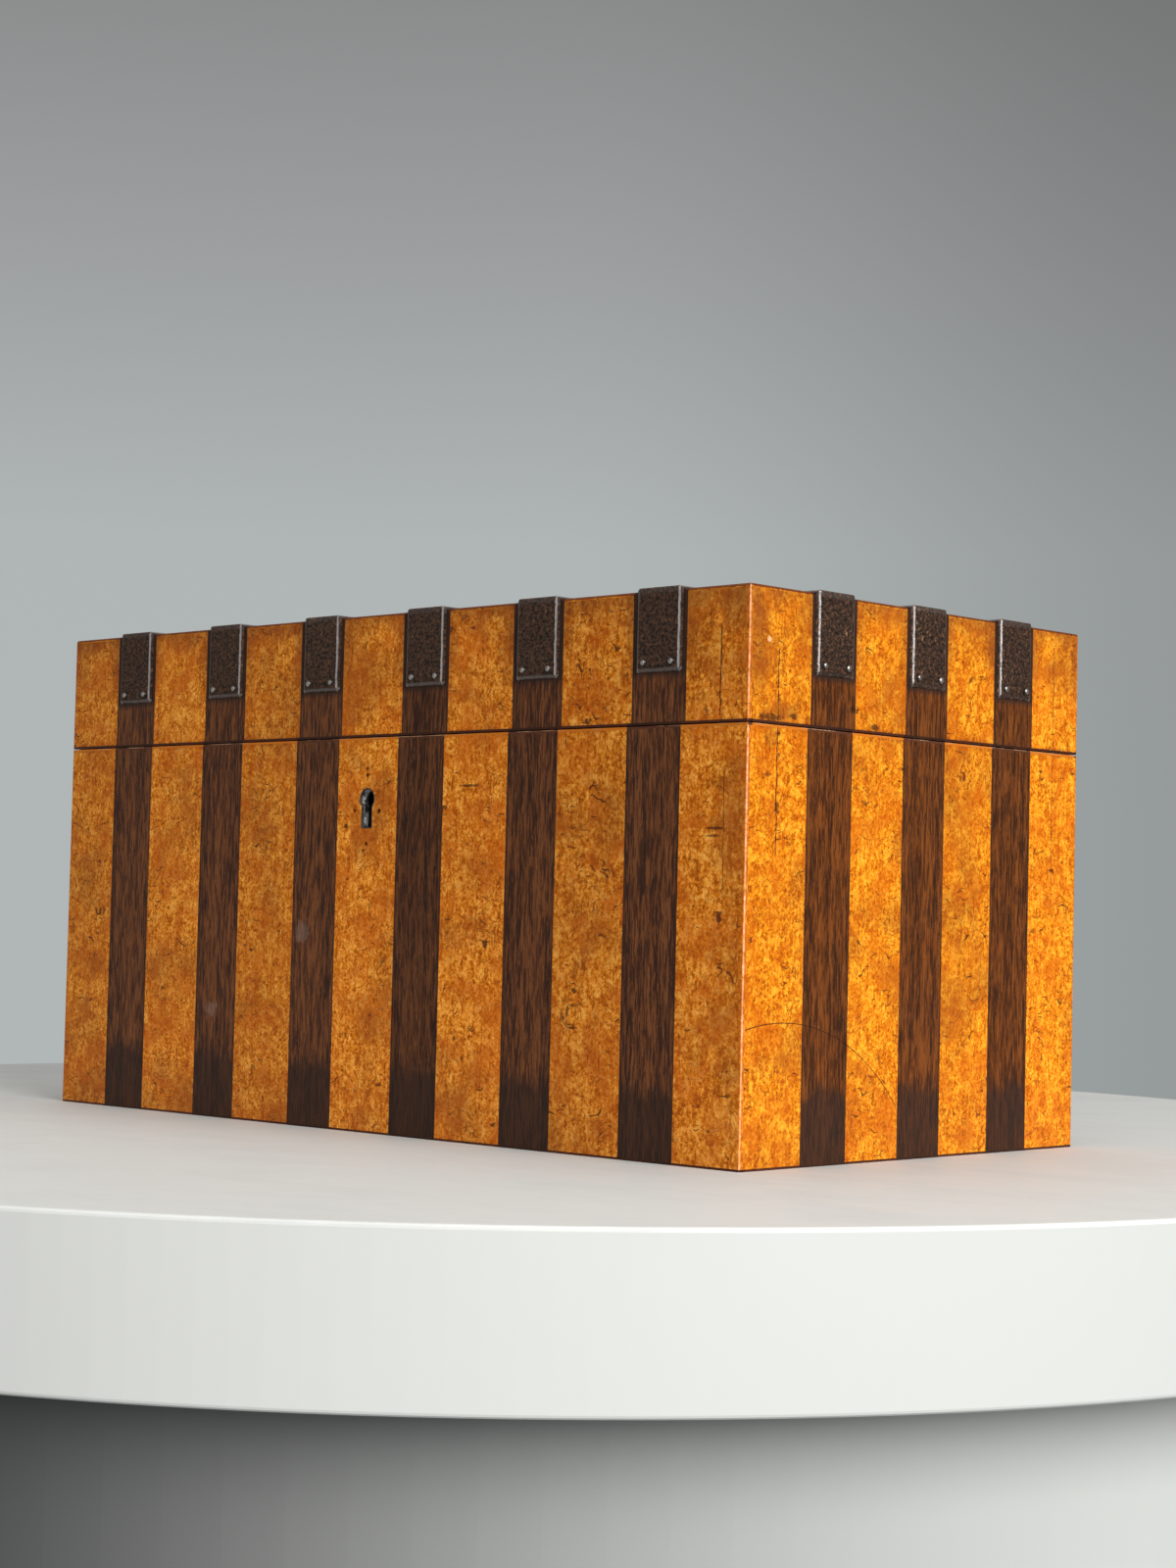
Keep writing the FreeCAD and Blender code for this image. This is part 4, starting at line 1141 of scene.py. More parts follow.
@dataclass(frozen=True)
class PlainWood(Finish):
    """Quiet straight-grained wood of the boards, rails and facings."""

    name: str
    light: Colour
    deep: Colour
    roughness: float = 0.5
    along: str = "X"
    specular: float = 0.5
    pore: Colour = tint(52, 26, 16)

    def dress(self, graph: Graph, place: Signal) -> None:
        """Colour by grain along the board, with a few soft clouds.

        Args:
            graph: The material's node graph.
            place: The Object coordinates.
        """
        axes = graph.split(place)
        others = [axes[letter] for letter in "XYZ" if letter != self.along]
        grain = graph.group(StraightGrain(), Vector=graph.join(*others, axes[self.along]),
                            Offset=(0.3, 0.1, 0.7))
        fine = grain["Fine"].ease(0.3, 0.7)
        share = grain["Streaks"].ease(0.28, 0.72) * 0.55 + fine * 0.45
        clouds = graph.noise(place, 45.0, 4.0, 0.6).ease(0.45, 0.75, 0.0, 0.35)
        coloured = graph.layered(self.deep, (
            (share, self.light),
            (clouds, self.deep),
            (grain["Pores"] * 0.35, self.pore),
        ))
        graph.surface(Base_Color=self.edged(graph, coloured, axes, place), Specular_IOR_Level=self.specular,
                      Roughness=fine.ease(0.0, 1.0, self.roughness - 0.06, self.roughness + 0.08))
        graph.raised(fine, 0.04 * MM)

    def edged(self, graph: Graph, colour: Signal, axes: Signals, place: Signal) -> Signal:
        """Return the wood's colour, for a subclass to stain its edge."""
        return colour


@dataclass(frozen=True)
class EdgedFacing(PlainWood):
    """Thin facing whose outer edge is stained to match the bands of veneer beside it."""

    specular: float = 0.12
    maple_edge: Colour = tint(72, 34, 18)
    rose_edge: Colour = tint(48, 26, 16)
    line: Colour = tint(60, 30, 17)
    line_level: float = 0.0
    rim: float = 0.25 * MM

    def near_rose(self, graph: Graph, across: Signal, layout: Layout, half_band: float) -> Signal:
        """Mask of the places along one face where a rosewood band meets the facing."""
        leaf = graph.group(LeafChoice(), Across=across, Pitch=layout.pitch, Shift=layout.middle, Seed=0.0)
        return leaf["Off"].fade(half_band - 0.1 * MM, half_band + 0.1 * MM)

    def edged(self, graph: Graph, colour: Signal, axes: Signals, place: Signal) -> Signal:
        """Lay the stained edge and its rubbed top line over the plain wood.

        Args:
            graph: The material's node graph.
            colour: The plain wood's colour.
            axes: The Object coordinates by axis.
            place: The Object coordinates.

        Returns:
            The wood's colour with its edge.
        """
        past_side = abs(axes["X"]) - (SIZES.half_width - self.rim)
        past_face = abs(axes["Y"]) - (SIZES.half_depth - self.rim)
        outer = past_side.most(past_face).ease(0.0, self.rim * 0.5)
        on_side = graph.math("GREATER_THAN", past_side, past_face)
        long_mask = self.near_rose(graph, axes["X"], SIZES.layout(Face.FRONT, "base"), SIZES.half_band)
        short_mask = self.near_rose(graph, axes["Y"], SIZES.layout(Face.RIGHT, "base"), SIZES.half_side_band)
        rose = long_mask.fitted(1.0 - on_side, short_mask * on_side)
        worn = graph.noise(place, 110.0, 4.0, 0.7).ease(0.44, 0.62, 0.0, 0.8)
        above = axes["Z"].ease(self.line_level, self.line_level + 0.1 * MM)
        edge = graph.layered(self.maple_edge, ((rose, self.rose_edge), (above * worn, self.line)))
        return graph.blend(outer, colour, edge)


@dataclass(frozen=True)
class StrapIron(Finish):
    """Blackened forged iron, rubbed bright on its bevels, with painted highlights on the bevels and the ends.
    """

    name: str
    across: str
    along: str
    pitch: float
    shift: float
    half_length: float
    # Share of the painted highlight on the strap ends.
    end_highlight_share: float
    speck_share: float
    ground: Colour = tint(94, 64, 45)
    black: Colour = tint(22, 13, 8)
    rust: Colour = tint(164, 128, 92)
    # Pale iron of the rubbed edges and of the painted highlights.
    bare_and_highlight: Colour = tint(142, 135, 132)

    def dress(self, graph: Graph, place: Signal) -> None:
        """Colour the ground by pits and specks, and the edges by pale iron: rubbed bevels and folds, with
        painted highlights on the bevels and the ends.

        Args:
            graph: The material's node graph.
            place: The Object coordinates.
        """
        axes = graph.split(place)
        forged = graph.group(HammeredGround(), Vector=place)
        wear = graph.group(StrapWearAndHighlights(), Vector=place, Across=axes[self.across], Along=axes[self.along],
                           Pitch=self.pitch, Shift=self.shift, Half_length=self.half_length)
        clouds = forged["Clouds"].ease(0.40, 0.63)
        # Rubbed: the bevels' rubbing and painted highlight, and the rubbed folds; the ends add their painted
        # highlight below.
        rubbed = (wear["Bevel"] * clouds.ease(0.0, 1.0, 0.75, 1.0)).most(wear["Fold"] * 0.12)
        bright = rubbed.most(wear["End"] * self.end_highlight_share)
        coloured = graph.layered(self.black, (
            (clouds, self.ground),
            (forged["Pits"] * 0.6, self.black),
            (forged["Specks"] * self.speck_share, self.rust),
            (bright, self.bare_and_highlight),
        ))
        graph.surface(Base_Color=coloured, Metallic=bright.ease(0.0, 1.0, 0.06, 0.85),
                      Roughness=bright.ease(0.0, 1.0, 0.58, 0.42), Specular_IOR_Level=0.18)
        height = clouds.fitted(0.5, forged["Dents"] * 0.8 - forged["Pits"] * 0.7)
        graph.raised(height * bright.ease(0.0, 1.0, 1.0, 0.25), 0.32 * MM)


@dataclass(frozen=True)
class WorkedMetal(Finish):
    """Filed metal with tarnish: brass, lock steel, bright steel and screws."""

    name: str
    clean: Colour
    tarnished: Colour
    roughness: float = 0.3

    def dress(self, graph: Graph, place: Signal) -> None:
        """Colour by tarnish and roughen along the file lines.

        Args:
            graph: The material's node graph.
            place: The Object coordinates.
        """
        worked = graph.group(Brushing(), Vector=place)
        tarnish = worked["Tarnish"].ease(0.40, 0.72, 0.15, 0.75)
        level = tarnish.ease(0.0, 1.0, self.roughness - 0.08, self.roughness + 0.14)
        graph.surface(Base_Color=graph.blend(tarnish, self.clean, self.tarnished),
                      Metallic=tarnish.ease(0.0, 1.0, 1.0, 0.75), Roughness=level + worked["Lines"] * 0.18)
        graph.raised(worked["Lines"], 0.02 * MM)


@dataclass(frozen=True)
class LinerSteel(Finish):
    """Old steel deep in the keyhole, black with a few pale patches of painted highlight."""

    name: str = "liner steel"
    # Pale colour of the painted highlights.
    rubbed: Colour = tint(228, 222, 218)
    black: Colour = tint(46, 42, 40)

    def dress(self, graph: Graph, place: Signal) -> None:
        """Colour by soft pale patches of 2 to 3 mm, painted highlights, black towards the mouth of the hole.

        Args:
            graph: The material's node graph.
            place: The Object coordinates.
        """
        highlight_lumps = graph.noise(place, 420.0, 3.0, 0.6).ease(0.40, 0.58)
        deep = graph.split(place)["Y"].ease(0.3 * MM - SIZES.half_depth, 1.3 * MM - SIZES.half_depth)
        graph.surface(Base_Color=graph.blend(highlight_lumps * deep, self.black, self.rubbed), Metallic=0.2,
                      Roughness=0.5)
        graph.raised(highlight_lumps, 0.2 * MM)


@dataclass(frozen=True)
class PinSteel(Finish):
    """Nail steel, pale on the crown and black round the rim: rubbing, with painted highlight on the crown and
    painted shade round the rim.
    """

    name: str = "pin steel"
    # Crown: rubbed steel with a painted highlight; rim: painted shade.
    crown: Colour = tint(168, 160, 154)
    rim: Colour = tint(44, 37, 33)

    def dress(self, graph: Graph, place: Signal) -> None:
        """Colour by the height of the dome, kept as an attribute of the nail, which carries rubbing and
        painted highlight and shade.

        Args:
            graph: The material's node graph.
            place: The Object coordinates.
        """
        rubbed = graph.outputs(graph.add("Attribute", attribute_name="rubbed"))["Fac"]
        tarnish = graph.group(Brushing(), Vector=place)["Tarnish"]
        # Pale towards the crown: rubbing with a painted highlight; dark at the rim: painted shade.
        bright = (rubbed + tarnish.fitted(0.5, -0.25)).ease(0.30, 0.80)
        graph.surface(Base_Color=graph.blend(bright, self.rim, self.crown),
                      Metallic=bright.ease(0.0, 1.0, 0.5, 1.0), Roughness=tarnish.ease(0.3, 0.7, 0.24, 0.42))


@dataclass(frozen=True)
class Cloth(Finish):
    """Napped cloth on the floor of the box, faded and worn through its nap in places."""

    name: str = "lining cloth"
    deep: Colour = tint(84, 30, 31)
    faded: Colour = tint(112, 50, 45)
    shade: Colour = tint(40, 14, 16)

    def dress(self, graph: Graph, place: Signal) -> None:
        """Weave by UV, fade by broad clouds.

        Args:
            graph: The material's node graph.
            place: The Object coordinates.
        """
        chart = graph.outputs(graph.add("TexCoord"))["UV"]
        axes = graph.split(graph.scaled(chart, 1900.0, 900.0, 1.0))
        weave = graph.math("SINE", axes["X"]) * graph.math("SINE", axes["Y"])
        nap = graph.noise(place, 2400.0, 3.0, 0.7)
        worn = graph.noise(place, 22.0, 5.0, 0.7).ease(0.34, 0.72)
        coloured = graph.layered(self.deep, ((worn, self.faded), (nap.ease(0.35, 0.7) * 0.35, self.shade)))
        graph.surface(Base_Color=coloured, Roughness=0.95, Sheen_Weight=0.25)
        graph.raised(weave * 0.3 + nap, 0.15 * MM)


class Workbench:
    """Small steps of modelling by operators, one object at a time."""

    @staticmethod
    def clear() -> None:
        """Leave edit mode and select nothing."""
        if bpy.context.object and bpy.context.object.mode != "OBJECT":
            bpy.ops.object.mode_set(mode="OBJECT")
        bpy.ops.object.select_all(action="DESELECT")

    @staticmethod
    def pick(piece: Piece, kind: str, test: Callable[..., bool]) -> None:
        """Select only what passes a test, in edit mode.

        Args:
            piece: The object in edit mode.
            kind: What is tested, verts or faces.
            test: A function of one of them.
        """
        mesh = bmesh.from_edit_mesh(piece.data)
        for item in (*mesh.verts, *mesh.edges, *mesh.faces):
            item.select_set(False)
        for item in getattr(mesh, kind):
            if test(item):
                item.select_set(True)
        mesh.select_flush_mode()
        bmesh.update_edit_mesh(piece.data)

    @classmethod
    def pick_end(cls, piece: Piece, side: int) -> None:
        """Select the faces that look up, for a side of 1, or down, for -1."""
        cls.pick(piece, "faces", lambda face: face.normal.z * side > 0.9)

    @staticmethod
    def draw_out(depth: float) -> None:
        """Extrude what is selected down by a depth."""
        bpy.ops.mesh.extrude_region_move(TRANSFORM_OT_translate={"value": (0, 0, -depth)})

    @staticmethod
    def modify(piece: Piece, kind: str, name: str, **settings: object) -> None:
        """Add a modifier and set its properties.

        Args:
            piece: The object.
            kind: Type of the modifier.
            name: Name of the modifier.
            **settings: Properties of the modifier.
        """
        modifier = piece.modifiers.new(name, kind)
        for key, value in settings.items():
            setattr(modifier, key, value)

    @classmethod
    def round_edges(cls, piece: Piece, name: str, width: float, segments: int, angle_deg: float) -> None:
        """Add a bevel to the edges that turn by more than an angle."""
        cls.modify(piece, "BEVEL", name, width=width, segments=segments, limit_method="ANGLE",
                   angle_limit=math.radians(angle_deg))

    @classmethod
    def apply(cls, piece: Piece) -> None:
        """Apply all of a piece's modifiers.

        Args:
            piece: The object.
        """
        cls.clear()
        bpy.context.view_layer.objects.active = piece
        piece.select_set(True)
        for name in [modifier.name for modifier in piece.modifiers]:
            bpy.ops.object.modifier_apply(modifier=name)

    @classmethod
    def settle(cls, piece: Piece, matrix: Matrix | None = None) -> None:
        """Move an object's place into its mesh and give the object the origin.

        Args:
            piece: The object.
            matrix: A further move, where one is given.
        """
        cls.clear()
        piece.data.transform((matrix or Matrix()) @ piece.matrix_world)
        piece.matrix_world = Matrix()
        piece.data.update()

    @staticmethod
    def duplicate(piece: Piece, name: str, matrix: Matrix) -> Piece:
        """Copy a settled object with its own mesh, moved by a matrix.

        Args:
            piece: The settled object.
            name: Name of the copy.
            matrix: The move from the object to the copy.

        Returns:
            The copy.
        """
        twin = piece.copy()
        twin.data = piece.data.copy()
        twin.name = name
        twin.data.name = name
        bpy.context.scene.collection.objects.link(twin)
        twin.data.transform(matrix)
        return twin

    @staticmethod
    def discard(piece: Piece) -> None:
        """Delete a pattern object once its copies are made.

        Args:
            piece: The pattern object.
        """
        mesh = piece.data
        bpy.data.objects.remove(piece, do_unlink=True)
        bpy.data.meshes.remove(mesh)

    @staticmethod
    def coat(piece: Piece, finish: Finish) -> None:
        """Give a piece its only material.

        Args:
            piece: The piece.
            finish: Its finish.
        """
        piece.data.materials.clear()
        piece.data.materials.append(finish.build())
        LOG.info("%s: %s", piece.name, finish.name)


def facing(direction: Vector, place: Vector, spin: float = 0.0) -> Matrix:
    """Return the matrix that turns +Z to a direction at a place, after a spin about +Z."""
    turn = Vector((0, 0, 1)).rotation_difference(direction).to_matrix().to_4x4()
    return Matrix.Translation(place) @ turn @ Matrix.Rotation(spin, 4, "Z")


@dataclass
class StrapPins:
    """Thirty-six domed nails, two in each strap end."""

    radius: float = 1.0 * MM
    sides: int = 20
    rim: float = 0.12 * MM
    steps: tuple[tuple[float, float], ...] = ((0.10, 0.20), (0.14, 0.16), (0.18, 0.12), (0.20, 0.07),
                                              (0.18, 0.03))
    shank: float = 0.42 * MM
    length: float = 5.0 * MM
    spacing: float = 9.2 * MM
    inset: float = 2.5 * MM
    tilt_deg: float = 3.0
    size_range: tuple[float, float] = (0.93, 1.06)
    smooth_deg: float = 75.0
    seed: int = 41

    def pattern(self) -> Piece:
        """Model one nail: a rimmed disc, crowned by insets, with a shank drawn from its back.

        Returns:
            The nail, at the origin.
        """
        Workbench.clear()
        bpy.ops.mesh.primitive_cylinder_add(vertices=self.sides, radius=self.radius, depth=self.rim,
                                            location=(0, 0, self.rim / 2))
        pin = bpy.context.object
        pin.name = "strap_pin_pattern"
        bpy.ops.object.mode_set(mode="EDIT")
        Workbench.pick_end(pin, 1)
        for inset, rise in self.steps:
            bpy.ops.mesh.inset(thickness=inset * MM, depth=rise * MM)
        Workbench.pick_end(pin, -1)
        bpy.ops.mesh.inset(thickness=self.radius - self.shank)
        Workbench.draw_out(self.length)
        bpy.ops.object.mode_set(mode="OBJECT")
        bpy.ops.object.shade_smooth_by_angle(angle=math.radians(self.smooth_deg))
        # The dome's height, kept as the rubbed attribute, carries the nail's rubbing and its painted
        # highlight and shade.
        crown = pin.data.color_attributes.new("rubbed", "FLOAT_COLOR", "POINT")
        top = self.rim + sum(rise for _, rise in self.steps) * MM
        for vertex, value in zip(pin.data.vertices, crown.data):
            share = max(0.0, min(1.0, (vertex.co.z - self.rim) / (top - self.rim)))
            value.color = (share, share, share, 1.0)
        Workbench.settle(pin)
        return pin

    def places(self) -> list[tuple[Vector, Vector]]:
        """Return each nail's place on its strap's face, and the way out.

        Returns:
            Places with their ways out.
        """
        found = []
        level = SIZES.strap_end + self.inset
        for face in (Face.FRONT, Face.BACK, Face.LEFT, Face.RIGHT):
            _, axis, sign = face.value
            reach = SIZES.half_depth if axis == "Y" else SIZES.half_width
            out = sign * (reach + SIZES.strap_thickness)
            for middle in SIZES.middles(face):
                for step in (-0.5, 0.5):
                    aside = middle + step * self.spacing
                    spot = (aside, out, level) if axis == "Y" else (out, aside, level)
                    way = (0, sign, 0) if axis == "Y" else (sign, 0, 0)
                    found.append((Vector(spot), Vector(way)))
        return found

    def make(self, finish: Finish) -> None:
        """Set a slightly tilted copy of the pattern at every place.

        Args:
            finish: The nails' finish.
        """
        chance = random.Random(self.seed)
        pattern = self.pattern()
        for number, (spot, way) in enumerate(self.places(), start=1):
            tilt = [math.radians(chance.uniform(-self.tilt_deg, self.tilt_deg)) for _ in range(2)]
            lean = Matrix.Rotation(tilt[0], 4, "X") @ Matrix.Rotation(tilt[1], 4, "Y")
            size = chance.uniform(*self.size_range)
            upright = facing(way, spot, chance.uniform(0, math.pi))
            matrix = upright @ lean @ Matrix.Diagonal((size, size, 1, 1))
            pin = Workbench.duplicate(pattern, f"strap_pin_{number:02d}", matrix)
            Workbench.coat(pin, finish)
            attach(pin, "lid")
            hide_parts("strap_pins")
        Workbench.discard(pattern)


@dataclass
class SlottedScrews:
    """Countersunk slotted screws of one fixing."""

    label: str
    node: str
    body: str
    slot: str
    places: list[Triple]
    way: Triple
    length: float = 7.0 * MM
    radius: float = 1.9 * MM
    head: float = 1.1 * MM
    land: float = 0.2 * MM
    shank: float = 0.9 * MM
    core_share: float = 0.6
    tip_share: float = 0.25
    slot_width: float = 0.5 * MM
    slot_depth: float = 0.6 * MM
    saw_share: float = 2.4
    crown: tuple[float, float] = (0.12 * MM, 0.04 * MM)
    sides: int = 28
    smooth_deg: float = 35.0

    def pattern(self) -> Piece:
        """Model one screw: a tapered head with a sawn slot, and a pointed shank.

        Returns:
            The screw, at the origin.
        """
        Workbench.clear()
        bpy.ops.mesh.primitive_cylinder_add(vertices=self.sides, radius=self.radius, depth=self.land,
                                            location=(0, 0, -self.land / 2))
        screw = bpy.context.object
        bpy.ops.object.mode_set(mode="EDIT")
        Workbench.pick_end(screw, -1)
        runs = ((self.head - self.land, self.shank / self.radius), (self.length * self.core_share, 1.0),
                (self.length * (1 - self.core_share) - self.head, self.tip_share))
        depth = -self.land
        for run, share in runs:
            Workbench.draw_out(run)
            depth -= run
            bpy.ops.transform.resize(value=(share, share, 1), center_override=(0, 0, depth))
        Workbench.pick_end(screw, 1)
        bpy.ops.mesh.inset(thickness=self.crown[0], depth=self.crown[1])
        Workbench.clear()
        bpy.ops.mesh.primitive_cube_add(size=1)
        saw = bpy.context.object
        saw.scale = (self.radius * self.saw_share, self.slot_width, self.slot_depth * 2)
        bpy.ops.object.transform_apply(scale=True)
        Workbench.modify(screw, "BOOLEAN", "slot", object=saw, operation="DIFFERENCE")
        Workbench.apply(screw)
        Workbench.discard(saw)
        bpy.ops.object.shade_smooth_by_angle(angle=math.radians(self.smooth_deg))
        Workbench.settle(screw)
        return screw

    def make(self, finish: Finish, seed: int) -> None:
        """Set a copy at each place, its slot turned at random.

        Args:
            finish: The screws' finish.
            seed: Seed of the slots' turns.
        """
        chance = random.Random(seed)
        pattern = self.pattern()
        for number, spot in enumerate(self.places, start=1):
            matrix = facing(Vector(self.way), Vector(spot), chance.uniform(0, math.pi))
            screw = Workbench.duplicate(pattern, f"{self.label}_{number:02d}", matrix)
            Workbench.coat(screw, finish)
            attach(screw, self.body)
            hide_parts(self.node)
        Workbench.discard(pattern)


@dataclass
class KeyholeLiner:
    """Thin steel lining let into the keyhole, flush with the front."""

    radius: float = 2.97 * MM
    half_slot: float = 2.17 * MM
    drop: float = 7.97 * MM
    wall: float = 0.28 * MM
    depth: float = 2.4 * MM
    sides: int = 48
    slack: float = 1.001
    rim_bevel: float = 0.06 * MM
    rim_deg: float = 40.0
    smooth_deg: float = 35.0

    def narrow(self, liner: Piece, reach: float, tall: float, level: float) -> None:
        """Bring the ring's lower points within a reach to the slot's width.

        Args:
            liner: The ring in edit mode.
            reach: Half the width in which points move.
            tall: Scale of the points' heights.
            level: Height that the scaling starts from.
        """
        limit = reach * self.slack
        Workbench.pick(liner, "verts", lambda point: point.co.y < 0 and abs(point.co.x) < limit)
        bpy.ops.transform.resize(value=(self.half_slot / reach, tall, 1), center_override=(0, level, 0))

    def make(self, finish: Finish) -> None:
        """Draw the keyhole's outline from a ring, extrude it inwards and thicken it.

        Args:
            finish: The liner's finish.
        """
        Workbench.clear()
        bpy.ops.mesh.primitive_circle_add(vertices=self.sides, radius=self.radius)
        liner = bpy.context.object
        liner.name = "keyhole_liner"
        step = 2 * math.pi / self.sides
        last = math.floor(math.asin(self.half_slot / self.radius) / step)
        neck = self.radius * math.sin((last + 1) * step)
        foot = self.half_slot * math.sin(last * step) / math.sin((last + 1) * step)
        bpy.ops.object.mode_set(mode="EDIT")
        self.narrow(liner, neck, 1, 0)
        self.narrow(liner, foot, 0, -self.drop)
        bpy.ops.mesh.select_all(action="SELECT")
        Workbench.draw_out(self.depth)
        bpy.ops.mesh.select_all(action="SELECT")
        bpy.ops.mesh.normals_make_consistent(inside=False)
        bpy.ops.object.mode_set(mode="OBJECT")
        Workbench.modify(liner, "SOLIDIFY", "wall", thickness=self.wall, offset=-1.0, use_even_offset=True)
        Workbench.round_edges(liner, "eased rim", self.rim_bevel, 2, self.rim_deg)
        Workbench.apply(liner)
        bpy.ops.object.shade_smooth_by_angle(angle=math.radians(self.smooth_deg))
        front = Matrix.Translation((0, -SIZES.half_depth, SIZES.keyhole_z))
        Workbench.settle(liner, front @ Matrix.Rotation(math.pi / 2, 4, "X"))
        Workbench.coat(liner, finish)
        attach(liner, "base")


@dataclass
class FloorLining:
    """Cloth laid loose on the floor of the box."""

    width: float = 251.2 * MM
    length: float = 120.2 * MM
    thickness: float = 0.45 * MM
    ripple: float = 0.12 * MM
    lift: float = 0.02 * MM
    cells: tuple[int, int] = (96, 46)
    long_wave: float = 71.0
    sway: float = 1.3
    sway_turns: float = 48.0
    cross_wave: float = 83.0
    skew: float = 19.0

    def swell(self, x: float, y: float) -> float:
        """Return the height of the faint ripples at a place on the cloth.

        Args:
            x: Place along the box's width in metres.
            y: Place along the box's depth in metres.

        Returns:
            The height in metres.
        """
        along = math.sin(x * self.long_wave + self.sway * math.sin(y * self.sway_turns))
        across = math.sin(y * self.cross_wave + x * self.skew)
        return self.ripple * (0.5 + 0.5 * along * across)

    def make(self, finish: Finish) -> None:
        """Model the cloth as a fine grid with faint ripples, then give it its thickness.

        Args:
            finish: The cloth's finish.
        """
        Workbench.clear()
        bpy.ops.mesh.primitive_grid_add(x_subdivisions=self.cells[0], y_subdivisions=self.cells[1], size=1,
                                        calc_uvs=True)
        cloth = bpy.context.object
        cloth.name = "floor_lining_cloth"
        cloth.scale = (self.width, self.length, 1)
        bpy.ops.object.transform_apply(scale=True)
        for vertex in cloth.data.vertices:
            vertex.co.z = self.swell(vertex.co.x, vertex.co.y)
        Workbench.modify(cloth, "SOLIDIFY", "cloth", thickness=self.thickness, offset=1.0)
        Workbench.apply(cloth)
        Workbench.settle(cloth, Matrix.Translation((0, 0, SIZES.floor_top + self.lift)))
        Workbench.coat(cloth, finish)
        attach(cloth, "base")
        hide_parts("floor_lining")


class Dresser:
    """Gives the CAD nodes their finishes and eases their edges."""

    merge_reach = 0.001 * MM
    flat_deg = 0.5
    edge_deg = 25.0

    def __init__(self) -> None:
        """Keep the nodes by name."""
        self.nodes = frame["nodes"]

    def dress(self, finish: Finish, *names: str, eased: float = 0.0, segments: int = 2) -> None:
        """Give nodes their material, and ease their edges where a width is given.

        Args:
            finish: The finish.
            *names: Names of the nodes.
            eased: Width of the eased edges in metres, or 0.
            segments: Steps across an eased edge.
        """
        for name in names:
            Workbench.coat(self.nodes[name], finish)
            if eased:
                self.ease_edges(self.nodes[name], eased, segments)

    def ease_edges(self, piece: Piece, width: float, segments: int) -> None:
        """Join a node's loose triangles and round its edges slightly.

        Args:
            piece: The node's object.
            width: Width of the rounding in metres.
            segments: Steps across the rounding.
        """
        Workbench.modify(piece, "WELD", "joined", merge_threshold=self.merge_reach)
        Workbench.modify(piece, "DECIMATE", "flat faces", decimate_type="DISSOLVE",
                         angle_limit=math.radians(self.flat_deg))
        Workbench.round_edges(piece, "eased edges", width, segments, self.edge_deg)


@dataclass
class PhotoCamera:
    """The camera of the photograph."""

    place: Triple = (561.63 * MM, -570.65 * MM, 59.42 * MM)
    azimuth_deg: float = 43.7009
    tilt_deg: float = 2.7487
    roll_deg: float = 1.3281
    focal_px: float = 2825.32
    height_px: float = 1600.0
    sensor_mm: float = 36.0
    clip: tuple[float, float] = (0.01, 50.0)

    def make(self) -> None:
        """Create the camera and make it the scene's camera."""
        azimuth, tilt, roll = map(math.radians, (self.azimuth_deg, self.tilt_deg, self.roll_deg))
        flat = math.cos(tilt)
        ahead = Vector((-math.sin(azimuth) * flat, math.cos(azimuth) * flat, math.sin(tilt)))
        level = ahead.cross(Vector((0, 0, 1))).normalized()
        upward = level.cross(ahead)
        right = math.cos(roll) * level + math.sin(roll) * upward
        top = -math.sin(roll) * level + math.cos(roll) * upward
        lens = bpy.data.cameras.new("photo camera")
        lens.sensor_fit = "AUTO"
        lens.sensor_width = self.sensor_mm
        lens.lens = self.focal_px / self.height_px * self.sensor_mm
        lens.clip_start, lens.clip_end = self.clip
        camera = bpy.data.objects.new("photo camera", lens)
        bpy.context.scene.collection.objects.link(camera)
        turn = Matrix((right, top, -ahead)).transposed().to_4x4()
        camera.matrix_world = Matrix.Translation(self.place) @ turn
        bpy.context.scene.camera = camera


@dataclass(frozen=True)
class TableTop(Finish):
    """Pale matt top, faintly scuffed."""

    name: str = "pale table"
    pale: Colour = tint(211, 211, 206)
    shade: Colour = tint(193, 193, 188)
    rim: Colour = tint(196, 197, 193)
    rim_reach: float = 280.0 * MM

    def dress(self, graph: Graph, place: Signal) -> None:
        """Vary the pale ground with soft rubbed clouds, and shade the rim towards one side.

        Args:
            graph: The material's node graph.
            place: The Object coordinates.
        """
        clouds = graph.noise(graph.scaled(place, 18.0, 30.0, 18.0), 1.0, 5.0, 0.65)
        axes = graph.split(place)
        below = axes["Z"].fade(-1.2 * MM, -0.4 * MM)
        rubbed = clouds.ease(0.4, 0.75, 0.0, 0.5) * below.ease(0.0, 1.0, 1.0, 0.15)
        side = (axes["X"] + axes["Y"]).ease(-self.rim_reach, self.rim_reach)
        coloured = graph.layered(self.pale, ((rubbed, self.shade), (below * side, self.rim)))
        graph.surface(Base_Color=coloured, Roughness=clouds.ease(0.3, 0.7, 0.55, 0.68))


@dataclass(frozen=True)
class Lamp:
    """A square soft lamp: where it stands, its side and its power in watts."""

    name: str
    place: Triple
    side: float
    power: float

    def make(self, aim: Vector) -> None:
        """Add the lamp, turned to a point.

        Args:
            aim: The point that the lamp faces.
        """
        data = bpy.data.lights.new(self.name, "AREA")
        data.shape = "SQUARE"
        data.size = self.side
        data.energy = self.power
        lamp = bpy.data.objects.new(self.name, data)
        bpy.context.scene.collection.objects.link(lamp)
        turn = (aim - Vector(self.place)).to_track_quat("-Z", "Y").to_matrix().to_4x4()
        lamp.matrix_world = Matrix.Translation(self.place) @ turn


